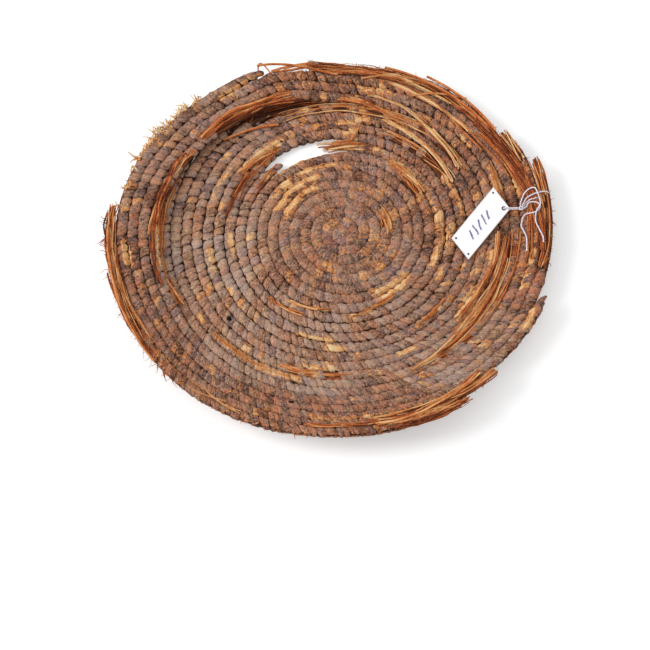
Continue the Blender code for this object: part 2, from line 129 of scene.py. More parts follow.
def spell(value, low, high, edge):
    """1 between low and high, fading to 0 over an edge on either side."""
    return ease(value, low - edge, low) * (1.0 - ease(value, high, high + edge))


def curve_through(a, b, c, d, t):
    """A point between b and c on the smooth curve through all four."""
    bend = (2 * a - 5 * b + 4 * c - d) * t * t + (3 * b - a - 3 * c + d) * t ** 3
    return 0.5 * (2 * b + (c - a) * t + bend)


def around(table, bearing):
    """Smooth periodic reading of a table spaced evenly round the tray."""
    count = len(table)
    place = (bearing % TURN) / TURN * count
    i = int(math.floor(place))
    return curve_through(*(table[(i + k) % count] for k in (-1, 0, 1, 2)), place - i)


def surface(lane, bearing):
    """Radius, height and slope of the row middle at this lane and bearing."""
    pitch = ROW_PITCH * around(SPREAD_SHARES, bearing)
    bend = math.radians(around(WALL_ANGLES_DEG, bearing)) / (RIM_LANE - FLAT_LANES)
    past = max(lane - FLAT_LANES, 0.0)
    radius = pitch * (min(lane, FLAT_LANES) + math.sin(bend * past) / bend)
    height = ROW_HEIGHT / 2 + pitch * (1.0 - math.cos(bend * past)) / bend
    return radius, height, bend * past


def hole_pull(turned):
    """How far, in lanes, the rows beside the hole are drawn away from it."""
    lane = turned / TURN
    pull = sum(most * max(1.0 - abs(lane - middle) / reach, 0.0)
               for low, high, middle, reach, most in HOLE_ROWS if low < lane < high)
    return spell(turned % TURN, *HOLE_BEARINGS, HOLE_FADE_DEG) * pull


def inner_lane(turned):
    """Lane and lift of the inner coil, which lies flat."""
    return turned / TURN + hole_pull(turned), 0.0


def band_lift(turned):
    """How far the torn band stands up at a place along the outer rows."""
    lift = BAND_LIFT * ease(turned, LIFT_FROM, LIFT_FROM + LIFT_RUN)
    return lift * (1.0 - ease(turned, LIFT_END_FROM, LIFT_END_FROM + LIFT_END_RUN))


def outer_lane(index):
    """Lane and lift of the outer rows: index counts them outwards from the torn line."""
    def lane(turned):
        gap = GAP_LANES * ease(turned, GAP_FROM, GAP_FROM + GAP_RUN)
        slip = SLIP_LANES * ease(turned, SLIP_FROM, SLIP_FROM + SLIP_RUN)
        return INNER_LANES + turned / TURN + index + slip + gap, band_lift(turned)
    return lane


def middle_lane(turned):
    """The inner coil past the hole, which runs on into the first outer row."""
    lane, lift = outer_lane(0)(turned - INNER_LANES * TURN)
    return lane + hole_pull(turned), lift


def over(lane, lift, bearing, side=0.0, up=0.0):
    """A point at a lane and bearing, moved sideways over the rows and up out of them."""
    radius, height, slope = surface(lane, bearing)
    reach = radius + side * math.cos(slope) - up * math.sin(slope)
    rise = height + lift + side * math.sin(slope) + up * math.cos(slope)
    angle = math.radians(bearing)
    return COIL + Vector((reach * math.cos(angle), reach * math.sin(angle), rise))


def spot(track, turned, side=0.0, up=0.0):
    """The point that a track has reached, moved sideways and up."""
    lane, lift = track(turned)
    return over(lane, lift, turned, side, up)


def on_track(track, start, end):
    """The way along a track, as a function of the share of it gone."""
    def path(share, side=0.0, up=0.0):
        return spot(track, start + (end - start) * share, side, up)
    return path


def smooth_between(values, share):
    """Smooth reading of given places, each a tuple, at a share of the way along them."""
    last = len(values) - 1
    i = min(max(int(math.floor(share * last)), 0), last - 1)
    t = share * last - i
    b, c = Vector(values[i]), Vector(values[i + 1])
    a = Vector(values[i - 1]) if i > 0 else 2 * b - c
    d = Vector(values[i + 2]) if i + 2 <= last else 2 * c - b
    return curve_through(a, b, c, d, t) if 0.0 <= t <= 1.0 else b.lerp(c, t)


def on_rows(places, raised=False):
    """The way through (bearing, lane) places on top of the rows, or of the raised band."""
    def path(share, side=0.0, up=0.0):
        bearing, lane = smooth_between(places, share)
        lift = band_lift(bearing + TURN) if raised else 0.0
        return over(lane, lift, bearing, side, up + ROW_HEIGHT / 2)
    return path


def length_of(points):
    """Length of the straight runs from point to point."""
    return sum((b - a).length for a, b in zip(points, points[1:]))


def run_length(path, marks=12):
    """Length of a path, read at so many marks."""
    return length_of([path(k / marks) for k in range(marks + 1)])


def directions(track, turned):
    """Unit vectors at a track: along the row, taken over one degree, and up out of the fabric."""
    along = (spot(track, turned + 0.5) - spot(track, turned - 0.5)).normalized()
    up = (spot(track, turned, 0.0, MM) - spot(track, turned)).normalized()
    return along, (up - along * up.dot(along)).normalized()


class Socket:
    """An output of a node. Sums on it add Math nodes to its tree."""

    def __init__(self, sheet, link):
        self.sheet, self.link = sheet, link

    def math(self, operation, *values):
        return self.sheet.node("ShaderNodeMath", {"operation": operation}, (self, *values))

    def of(self, name):
        """Another output of the same node."""
        return Socket(self.sheet, self.link.node.outputs[name])

    def __add__(self, other):
        return self.math("ADD", other)

    def __mul__(self, other):
        return self.math("MULTIPLY", other)

    def __sub__(self, other):
        return self.math("SUBTRACT", other)

    def __rsub__(self, other):
        return self * -1.0 + other

    __radd__ = __add__
    __rmul__ = __mul__

    def size(self):
        """The value without its sign."""
        return self.math("ABSOLUTE")

    def most(self, other):
        return self.math("MAXIMUM", other)

    def between(self, low, high):
        """0 up to low, 1 from high on, smooth between."""
        return self.sheet.node("ShaderNodeMapRange", {"interpolation_type": "SMOOTHSTEP"},
                               {"Value": self, "From Min": low, "From Max": high})


class Sheet:
    """A node tree that is being written."""

    def __init__(self, tree):
        self.tree = tree

    def node(self, kind, settings=(), values=(), out=0):
        """A node of a kind, with its settings, then values or links for its inputs, and one output."""
        made = self.tree.nodes.new(kind)
        for name, value in dict(settings).items():
            if name == "stops":
                self.set_stops(made.color_ramp, value)
            else:
                setattr(made, name, value)
        pairs = values.items() if isinstance(values, dict) else enumerate(values)
        by_name = {socket.identifier: socket for socket in made.inputs}
        for key, value in pairs:
            socket = by_name[key] if isinstance(key, str) else made.inputs[key]
            if isinstance(value, Socket):
                self.tree.links.new(value.link, socket)
            else:
                socket.default_value = value
        return Socket(self, made.outputs[out]) if made.outputs else made

    @staticmethod
    def set_stops(ramp, stops):
        """Gives a colour ramp these places and colours."""
        while len(ramp.elements) > 1:
            ramp.elements.remove(ramp.elements[-1])
        for i, (place, colour) in enumerate(stops):
            stop = ramp.elements[0] if i == 0 else ramp.elements.new(place)
            stop.position = place
            stop.color = colour

    def attribute(self, name, out="Fac"):
        return self.node("ShaderNodeAttribute", {"attribute_name": name}, out=out)

    def noise(self, where, scale, detail=2.0, roughness=0.5):
        return self.node("ShaderNodeTexNoise", {}, {"Vector": where, "Scale": scale, "Detail": detail,
                                                    "Roughness": roughness})

    def mottle(self, where, scale, spread, detail=2.0, roughness=0.5):
        """Noise drawn out to 0 and 1, which it reaches at this spread either side of its middle."""
        return self.noise(where, scale, detail, roughness).between(0.5 - spread, 0.5 + spread)

    def join(self, x, y, z):
        return self.node("ShaderNodeCombineXYZ", {}, (x, y, z))

    def ramp(self, value, *stops):
        return self.node("ShaderNodeValToRGB", {"stops": stops}, (value,))

    def blend(self, share, first, second, how="MIX"):
        return self.node("ShaderNodeMix", {"data_type": "RGBA", "blend_type": how},
                         {"Factor_Float": share, "A_Color": first, "B_Color": second}, 2)

    def bump(self, height, depth, strength=1.0):
        return self.node("ShaderNodeBump", {}, {"Strength": strength, "Distance": depth, "Height": height})


def paint(red, green, blue):
    """A colour given as a screen shows it, 0 to 255, for a shader."""
    def linear(value):
        value /= 255.0
        return value / 12.92 if value <= 0.04045 else ((value + 0.055) / 1.055) ** 2.4
    return (linear(red), linear(green), linear(blue), 1.0)


SOOT = paint(58, 36, 28)
TAUPE_DARK = paint(124, 96, 80)
TAUPE = paint(172, 139, 119)
TAUPE_PALE = paint(204, 174, 150)
DUST = paint(232, 210, 186)
RUST_DARK = paint(116, 64, 44)
RUST = paint(184, 110, 78)
RUST_PALE = paint(208, 144, 104)
ORANGE = paint(208, 132, 72)
TAN = paint(226, 178, 122)
STRAW = paint(238, 208, 162)
BARK = paint(98, 54, 30)
# painted shade, for the creases between stitches and the core seen down them
CREASE_SHADE = paint(54, 31, 21)
SLATE = paint(140, 134, 134)
PLUM = paint(134, 98, 92)
INK_STAIN = paint(58, 60, 78)
PIN_HOLE_SHADE = paint(26, 18, 18)
PEN_VIOLET = paint(84, 80, 142)


def new_material(name, preview):
    """A Principled material and the sheet to write its nodes on."""
    made = bpy.data.materials.new(name)
    made.use_nodes = True
    made.diffuse_color = preview
    return made, Sheet(made.node_tree), made.node_tree.nodes["Principled BSDF"]


def wire(shader, **values):
    """Links or sets a shader's inputs, named as they are but with _ for each space."""
    for name, value in values.items():
        socket = shader.inputs[name.replace("_", " ")]
        if isinstance(value, Socket):
            value.sheet.tree.links.new(value.link, socket)
        else:
            socket.default_value = value


def tag_frame():
    """The card's own axes: along its length to the tied end, across it, and out of its face."""
    heading, pitch, roll = (math.radians(a) for a in (TAG_HEADING_DEG, TAG_PITCH_DEG, TAG_ROLL_DEG))
    along = Vector((math.cos(heading) * math.cos(pitch), math.sin(heading) * math.cos(pitch),
                    math.sin(pitch)))
    level = Vector((-math.sin(heading), math.cos(heading), 0.0))
    across = level * math.cos(roll) + along.cross(level) * math.sin(roll)
    return along, across, along.cross(across)


# tints laid over a stitch's colour, which it takes by a number of its own between 0 and 1
STITCH_TINTS = ((0.0, paint(222, 214, 232)), (0.22, paint(246, 240, 238)), (0.42, paint(255, 214, 186)),
                (0.62, paint(238, 234, 234)), (0.80, paint(255, 240, 214)), (1.0, paint(232, 196, 184)))


def make_strip_finish():
    """Aged flat sewing strip: grey-brown and flecked, worn down to orange and straw fibre in places."""
    made, sheet, shader = new_material("aged_sewing_strip", TAUPE)
    place = sheet.node("ShaderNodeTexCoord", out="Object")
    strip = sheet.node("ShaderNodeUVMap", {"uv_map": "strip"})
    parts = sheet.node("ShaderNodeSeparateXYZ", {}, (strip,))
    shade, wear, warm = (sheet.attribute(name) for name in ("shade", "wear", "warm"))
    crease_shade_mask, run, cross = (sheet.attribute(name) for name in ("crease_shade_mask", "run", "cross"))
    fine = sheet.mottle(place, 1900.0, 0.18, 2.0, 0.6)
    fleck = sheet.mottle(place, 850.0, 0.16, 3.0, 0.7)
    blotch = sheet.mottle(place, 310.0, 0.15, 3.0, 0.6)
    cloud = sheet.mottle(place, 55.0, 0.15, 3.0)
    grain = sheet.mottle(sheet.join(parts * 2.0 + shade * 40.0, parts.of("Y") * 9.0, shade * 17.0),
                         1.0, 0.2, 3.0, 0.65)
    # from dark to pale
    tone = (shade * 0.22 + cloud * 0.07 + blotch * 0.11 + grain * 0.28 + fleck * 0.22 + fine * 0.22
            - warm.between(0.2, 0.7) * 0.14 - 0.005)
    base = sheet.ramp(tone, (0.08, SOOT), (0.30, TAUPE_DARK), (0.48, TAUPE), (0.68, TAUPE_PALE),
                      (0.90, DUST))
    # plum here and there, each stitch's own tint, grey dust, then rust
    plum = sheet.noise(place, 210.0, 3.0, 0.6).between(0.52, 0.66) * 0.30
    base = sheet.blend(plum, base, PLUM)
    own = (shade * 7.31).math("FRACT")
    base = sheet.blend(0.85, base, sheet.ramp(own, *STITCH_TINTS), "MULTIPLY")
    greyed = (cloud * 0.6 + shade * 0.4 - warm * 0.7).between(0.1, 0.7) * 0.3
    base = sheet.blend(greyed, base, SLATE)
    rusty = sheet.ramp(tone, (0.10, RUST_DARK), (0.48, RUST), (0.85, RUST_PALE))
    rusted = (blotch * 0.5 + fleck * 0.35 + warm * 0.55 + shade * 0.3).between(0.80, 1.50) * 0.9
    base = sheet.blend(rusted, base, rusty)
    stain = sheet.noise(place, 520.0, 1.0, 0.4).between(0.70, 0.76) * 0.6
    base = sheet.blend(stain, base, INK_STAIN)
    # worn through to the fibre, which runs along the row
    streak = sheet.noise(sheet.join(run * 150.0, cross * 1500.0, 0.0), 1.0, 3.0, 0.65)
    fibre = sheet.ramp(streak * 0.7 + tone * 0.32 + wear * 0.30 - 0.15, (0.26, BARK), (0.38, RUST),
                       (0.49, ORANGE), (0.61, TAN), (0.76, STRAW))
    scuffed = (wear * 1.1 + fleck * 0.36 + blotch * 0.34 + fine * 0.16).between(0.84, 1.16)
    base = sheet.blend(scuffed, base, fibre)
    # painted shade down the creases
    painted_crease_shade = (crease_shade_mask + (1.0 - fine) * 0.16 + (1.0 - fleck) * 0.12 - wear * 0.2).between(0.64, 1.26) * 0.84
    base = sheet.blend(painted_crease_shade, base, CREASE_SHADE)
    # painted shade: each pin hole is only a dark spot in the colour, not a hole in the mesh
    for bearing, lane in PIN_HOLES:
        middle = over(lane, 0.0, bearing, 0.0, ROW_HEIGHT / 2)
        away = sheet.node("ShaderNodeVectorMath", {"operation": "DISTANCE"}, (place, middle), "Value")
        pin_hole_shade = 1.0 - (away + fleck * 0.4 * MM).between(1.1 * MM, 1.6 * MM)
        base = sheet.blend(pin_hole_shade, base, PIN_HOLE_SHADE)
    wire(shader, Base_Color=base, Roughness=0.88, Specular_IOR_Level=0.15,
         Normal=sheet.bump(grain * 0.3 + fleck * 0.35 + fine * 0.3, 0.40 * MM))
    return made


def make_stem_finish():
    """Bare dried stems: brown to orange to straw, streaked along their length."""
    made, sheet, shader = new_material("bare_stem", ORANGE)
    place = sheet.node("ShaderNodeTexCoord", out="Object")
    tone, run, girth = (sheet.attribute(name) for name in ("tone", "run", "girth"))
    streak = sheet.mottle(sheet.join(run * 110.0, girth * 5.0, tone * 50.0), 1.0, 0.2, 3.0, 0.6)
    cloud = sheet.mottle(place, 170.0, 0.15)
    fine = sheet.mottle(place, 1500.0, 0.2, 2.0, 0.6)
    mark = tone * 0.70 + streak * 0.34 + cloud * 0.12 + fine * 0.20 - 0.23
    base = sheet.ramp(mark, (0.0, SOOT), (0.20, paint(122, 58, 30)), (0.42, paint(190, 98, 50)),
                      (0.62, paint(216, 140, 78)), (0.82, paint(234, 186, 128)), (0.98, STRAW))
    wire(shader, Base_Color=base, Roughness=0.78, Specular_IOR_Level=0.2,
         Normal=sheet.bump(streak * 0.5 + fine * 0.5, 0.25 * MM, 0.8))
    return made


def make_core_finish():
    """The bundle seen down the creases, or under loosened stems: brown and streaked."""
    made, sheet, shader = new_material("bundle_core", CREASE_SHADE)
    run, girth, bare = (sheet.attribute(name) for name in ("run", "girth", "bare"))
    streak = sheet.mottle(sheet.join(run * 90.0, girth * 26.0, 0.0), 1.0, 0.2, 3.0, 0.65)
    # painted shade: where the sewing covers the core it is seen only down the creases, so it is darker than
    # where it lies bare
    shaded_core_tone = sheet.ramp(streak, (0.1, paint(34, 20, 14)), (0.6, paint(74, 43, 28)), (0.9, paint(118, 70, 42)))
    open_tone = sheet.ramp(streak, (0.1, paint(44, 25, 17)), (0.5, paint(100, 56, 32)),
                           (0.9, paint(170, 100, 54)))
    wire(shader, Base_Color=sheet.blend(bare, shaded_core_tone, open_tone), Roughness=0.85, Specular_IOR_Level=0.2,
         Normal=sheet.bump(streak, 0.4 * MM, 0.8))
    return made


def make_cotton():
    """White sewing cotton: faint lint and a little grime in the twist."""
    made, sheet, shader = new_material("cotton_thread", paint(232, 230, 238))
    place = sheet.node("ShaderNodeTexCoord", out="Object")
    lint = sheet.mottle(place, 2600.0, 0.2)
    grime = sheet.noise(place, 180.0).between(0.5, 0.75) * 0.35
    base = sheet.ramp(lint, (0.0, paint(206, 202, 214)), (1.0, paint(246, 244, 250)))
    wire(shader, Base_Color=sheet.blend(grime, base, paint(196, 186, 196)), Roughness=0.9,
         Specular_IOR_Level=0.1, Normal=sheet.bump(lint, 0.06 * MM, 0.7))
    return made


RUBBED_EDGE = 0.9 * MM
# pen strokes on the card: middle along it and half height in mm, lean, and weight in mm
PEN_STROKES = ((-6.4, 1.9, 0.30, 0.48), (-3.6, 2.3, 0.10, 0.42), (-0.9, 2.0, 0.42, 0.52),
               (2.1, 2.2, 0.20, 0.44), (4.7, 1.7, 0.34, 0.56))


def make_paper():
    """White card with soft wear at its edges and a few strokes of violet ink."""
    made, sheet, shader = new_material("paper_card", paint(240, 241, 250))
    place = sheet.node("ShaderNodeTexCoord", out="Object")
    along, across, face = tag_frame()

    def measured(axis):
        """How far a place is from the card's middle along one of its axes."""
        where = sheet.node("ShaderNodeVectorMath", {"operation": "DOT_PRODUCT"}, (place, axis), "Value")
        return where - TAG_CENTRE.dot(axis)

    y = measured(across)
    x = measured(along) - y * math.tan(math.radians(TAG_SKEW_DEG))
    fibre = sheet.mottle(place, 1400.0, 0.2, 3.0, 0.6)
    cloud = sheet.noise(place, 120.0).between(0.35, 0.7)
    wobble = (sheet.noise(place, 420.0) - 0.5) * 1.1 * MM
    base = sheet.ramp(fibre, (0.0, paint(247, 248, 255)), (1.0, paint(255, 255, 255)))
    base = sheet.blend(cloud * 0.1, base, paint(222, 216, 222))
    edge = (y.size() - (TAG_WIDTH / 2 - RUBBED_EDGE)).most(x.size() - (TAG_LENGTH / 2 - RUBBED_EDGE))
    rubbed = (edge * (1.0 / MM) + fibre * 0.5).between(0.55, 1.3) * 0.5
    base = sheet.blend(rubbed, base, paint(196, 184, 172))
    ink = None
    for middle, half, lean, weight in PEN_STROKES:
        off = (x + wobble - middle * MM - y * lean).size()
        stroke = 1.0 - off.between(weight * 0.55 * MM, weight * 1.15 * MM)
        stroke = stroke * (1.0 - y.size().between((half - 0.3) * MM, (half + 0.15) * MM))
        ink = stroke if ink is None else ink.most(stroke)
    upper_face = measured(face).between(0.0, TAG_THICKNESS / 4)
    base = sheet.blend(ink * (0.75 + fibre * 0.25) * upper_face, base, PEN_VIOLET)
    wire(shader, Base_Color=base, Roughness=0.7, Specular_IOR_Level=0.25,
         Normal=sheet.bump(fibre, 0.05 * MM, 0.6))
    return made


STRIP_FINISH = make_strip_finish()
STEM_FINISH = make_stem_finish()
CORE_FINISH = make_core_finish()
COTTON = make_cotton()
PAPER = make_paper()


def link(name, data):
    """An object with this data, in the scene."""
    thing = bpy.data.objects.new(name, data)
    bpy.context.scene.collection.objects.link(thing)
    return thing


def mesh_from(name, shape):
    """A mesh from a bmesh, which ends with it."""
    data = bpy.data.meshes.new(name)
    shape.to_mesh(data)
    shape.free()
    return data


def flat_sided(value, power):
    """A sine or cosine drawn towards 1, for a round with flatter sides."""
    return math.copysign(abs(value) ** power, value)


def make_stitch():
    """One stitch of the flat strip round a row, along X with its outer side at -Y."""
    mesh = bmesh.new()
    strip = mesh.loops.layers.uv.new("strip")
    crease_shade_mask = mesh.verts.layers.float.new("crease_shade_mask")
    outward = mesh.verts.layers.float.new("outward")
    half_length = STITCH_PITCH * STITCH_OVERLAP_SHARE / 2
    rings = []
    for j in range(STITCH_RINGS):
        t = 2 * j / (STITCH_RINGS - 1) - 1
        fade = abs(t) ** 2.6
        tuck = STITCH_TUCKS[0] if t < 0 else STITCH_TUCKS[1]
        ring = []
        for i in range(STITCH_SIDES):
            angle = 2 * math.pi * i / STITCH_SIDES
            across, rise = math.cos(angle), math.sin(angle)
            inner = ease(-across, 0.2, 1.0)
            side = flat_sided(across, 0.85) * ROW_PITCH * 0.485 - STITCH_BITE * inner
            up = flat_sided(rise, 0.8) * ROW_HEIGHT * 0.5
            along = t * half_length * (1.0 - 0.30 * inner - 0.10 * across ** 4)
            vertex = mesh.verts.new((along, -side * (1 - 0.09 * fade), up * (1 - tuck * fade)))
            # painted shade mask: most at the stitch's ends and sides, where it meets its neighbours
            vertex[crease_shade_mask] = max(0.85 * fade, abs(across) ** 4)
            vertex[outward] = side
            ring.append(vertex)
        rings.append(ring)
    for j in range(STITCH_RINGS - 1):
        for i in range(STITCH_SIDES):
            n = (i + 1) % STITCH_SIDES
            face = mesh.faces.new((rings[j][i], rings[j][n], rings[j + 1][n], rings[j + 1][i]))
            for corner, u, v in zip(face.loops, (i, i + 1, i + 1, i), (j, j, j + 1, j + 1)):
                corner[strip].uv = (u / STITCH_SIDES * STRIP_REPEATS, v / (STITCH_RINGS - 1))
    mesh.faces.new(rings[0])
    mesh.faces.new(rings[-1])
    bmesh.ops.recalc_face_normals(mesh, faces=mesh.faces)
    return link("stitch_pattern", mesh_from("stitch", mesh))


def new_tree(name, entries):
    """A geometry tree with inputs from (name, kind, default) entries, as a sheet and its inputs."""
    tree = bpy.data.node_groups.new(name, "GeometryNodeTree")
    tree.interface.new_socket("Geometry", in_out="INPUT", socket_type="NodeSocketGeometry")
    for label, kind, default in entries:
        made = tree.interface.new_socket(label, in_out="INPUT", socket_type="NodeSocket" + kind)
        if default is not None:
            made.default_value = default
    tree.interface.new_socket("Geometry", in_out="OUTPUT", socket_type="NodeSocketGeometry")
    sheet = Sheet(tree)
    group = tree.nodes.new("NodeGroupInput")
    return sheet, {socket.name: Socket(sheet, socket) for socket in group.outputs if socket.name}


def read(sheet, name, kind="FLOAT"):
    """A named attribute of the geometry, as a field."""
    return sheet.node("GeometryNodeInputNamedAttribute", {"data_type": kind}, {"Name": name})


def stretched(sheet, vector, length):
    """A vector times a length, both fields."""
    return sheet.node("ShaderNodeVectorMath", {"operation": "SCALE"}, {"Vector": vector, "Scale": length})


def close(sheet, shape, finish):
    """Shades the shape smooth, gives it its finish and ends the tree, which it returns."""
    smooth = sheet.node("GeometryNodeSetShadeSmooth", {}, {"Geometry": shape, "Shade Smooth": True})
    done = sheet.node("GeometryNodeSetMaterial", {}, {"Geometry": smooth, "Material": finish})
    sheet.node("NodeGroupOutput", {}, (done,))
    return sheet.tree


def make_stitch_tree():
    """Stitches on points that carry the row's direction, its up, their size and their slant."""
    sheet, given = new_tree("stitched_rows", (
        ("Stitch", "Object", None), ("Unevenness", "Float", 1.25 * MM), ("Ripples", "Float", 460.0),
        ("Tilt", "Float", 0.16), ("Seed", "Int", 1), ("Finish", "Material", None)))
    pattern = sheet.node("GeometryNodeObjectInfo", {}, {"Object": given["Stitch"]}, "Geometry")
    along = read(sheet, "along", "FLOAT_VECTOR")
    turn = sheet.node("FunctionNodeAxesToRotation", {"primary_axis": "X", "secondary_axis": "Z"},
                      (along, read(sheet, "up", "FLOAT_VECTOR")))
    sway = sheet.node("FunctionNodeRandomValue", {"data_type": "FLOAT"},
                      {"Min_001": given["Tilt"] * -1.0, "Max_001": given["Tilt"],
                       "Seed": given["Seed"]}, 1)
    swing = sheet.node("FunctionNodeAxisAngleToRotation", {}, {"Axis": (0, 0, 1), "Angle": sway})
    turned = sheet.node("FunctionNodeRotateRotation", {"rotation_space": "LOCAL"}, (turn, swing))
    placed = sheet.node("GeometryNodeInstanceOnPoints", {}, {
        "Points": given["Geometry"], "Instance": pattern, "Rotation": turned,
        "Scale": read(sheet, "size", "FLOAT_VECTOR")})
    solid = sheet.node("GeometryNodeRealizeInstances", {}, (placed,))
    slanted = stretched(sheet, along, read(sheet, "outward") * read(sheet, "slant"))
    solid = sheet.node("GeometryNodeSetPosition", {}, {"Geometry": solid, "Offset": slanted})
    place = sheet.node("GeometryNodeInputPosition")
    ripple = sheet.node("ShaderNodeTexNoise", {},
                        {"Vector": place, "Scale": given["Ripples"], "Detail": 3.0}, "Color")
    centred = sheet.node("ShaderNodeVectorMath", {"operation": "SUBTRACT"}, (ripple, (0.5, 0.5, 0.5)))
    uneven = sheet.node("GeometryNodeSetPosition", {}, {
        "Geometry": solid, "Offset": stretched(sheet, centred, given["Unevenness"])})
    return close(sheet, uneven, given["Finish"])


def make_fibre_tree():
    """Round fibres along lines that carry their thickness and tone."""
    sheet, given = new_tree("fibres", (
        ("Sides", "Int", 5), ("Flatness", "Float", 0.6), ("Finish", "Material", None)))

    def noted(shape, name, value):
        return sheet.node("GeometryNodeStoreNamedAttribute", {"data_type": "FLOAT", "domain": "POINT"},
                          {"Geometry": shape, "Name": name, "Value": value})

    line = sheet.node("GeometryNodeMeshToCurve", {}, (given["Geometry"],))
    line = sheet.node("GeometryNodeSetCurveNormal", {"mode": "Z_UP"}, {"Curve": line})
    line = noted(line, "run", sheet.node("GeometryNodeSplineParameter", out="Length"))
    profile = sheet.node("GeometryNodeCurvePrimitiveCircle", {},
                         {"Resolution": given["Sides"], "Radius": 1.0})
    profile = noted(profile, "girth", sheet.node("GeometryNodeSplineParameter", out="Factor"))
    profile = sheet.node("GeometryNodeTransform", {},
                         {"Geometry": profile, "Scale": sheet.join(1.0, given["Flatness"], 1.0)})
    tube = sheet.node("GeometryNodeCurveToMesh", {}, {
        "Curve": line, "Profile Curve": profile, "Fill Caps": True, "Scale": read(sheet, "thick")})
    return close(sheet, sheet.node("GeometryNodeRealizeInstances", {}, (tube,)), given["Finish"])


def store(data, name, values):
    """A point attribute of a mesh: a float or a vector for each point."""
    values = np.asarray(values, dtype=np.float32)
    vectors = values.ndim == 2
    layer = data.attributes.new(name, "FLOAT_VECTOR" if vectors else "FLOAT", "POINT")
    layer.data.foreach_set("vector" if vectors else "value", values.ravel())


def grow(name, data, tree, **given):
    """A plain mesh object made by a node tree from the points and lines in data."""
    seed_thing = link(name + "_seed", data)
    grower = seed_thing.modifiers.new("grow", "NODES")
    grower.node_group = tree
    names = {item.name: item.identifier for item in tree.interface.items_tree if item.in_out == "INPUT"}
    for key, value in given.items():
        grower[names[key]] = value
    bpy.context.view_layer.update()
    seen = seed_thing.evaluated_get(bpy.context.evaluated_depsgraph_get())
    made = bpy.data.meshes.new_from_object(seen)
    places = np.empty(len(made.vertices) * 3, dtype=np.float32)
    made.vertices.foreach_get("co", places)
    places[2::3] = np.maximum(places[2::3], LOWEST)
    made.vertices.foreach_set("co", places)
    seed_thing.modifiers.remove(grower)
    bpy.data.objects.remove(seed_thing)
    made.name = name
    return link(name, made)


def settle(piece, body, slot, *nodes):
    """Attach a piece to the body that it rides on and hide the solids that it stands for; the slot is not
    used.
    """
    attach(piece, body)
    if nodes:
        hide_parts(*nodes)
    return piece


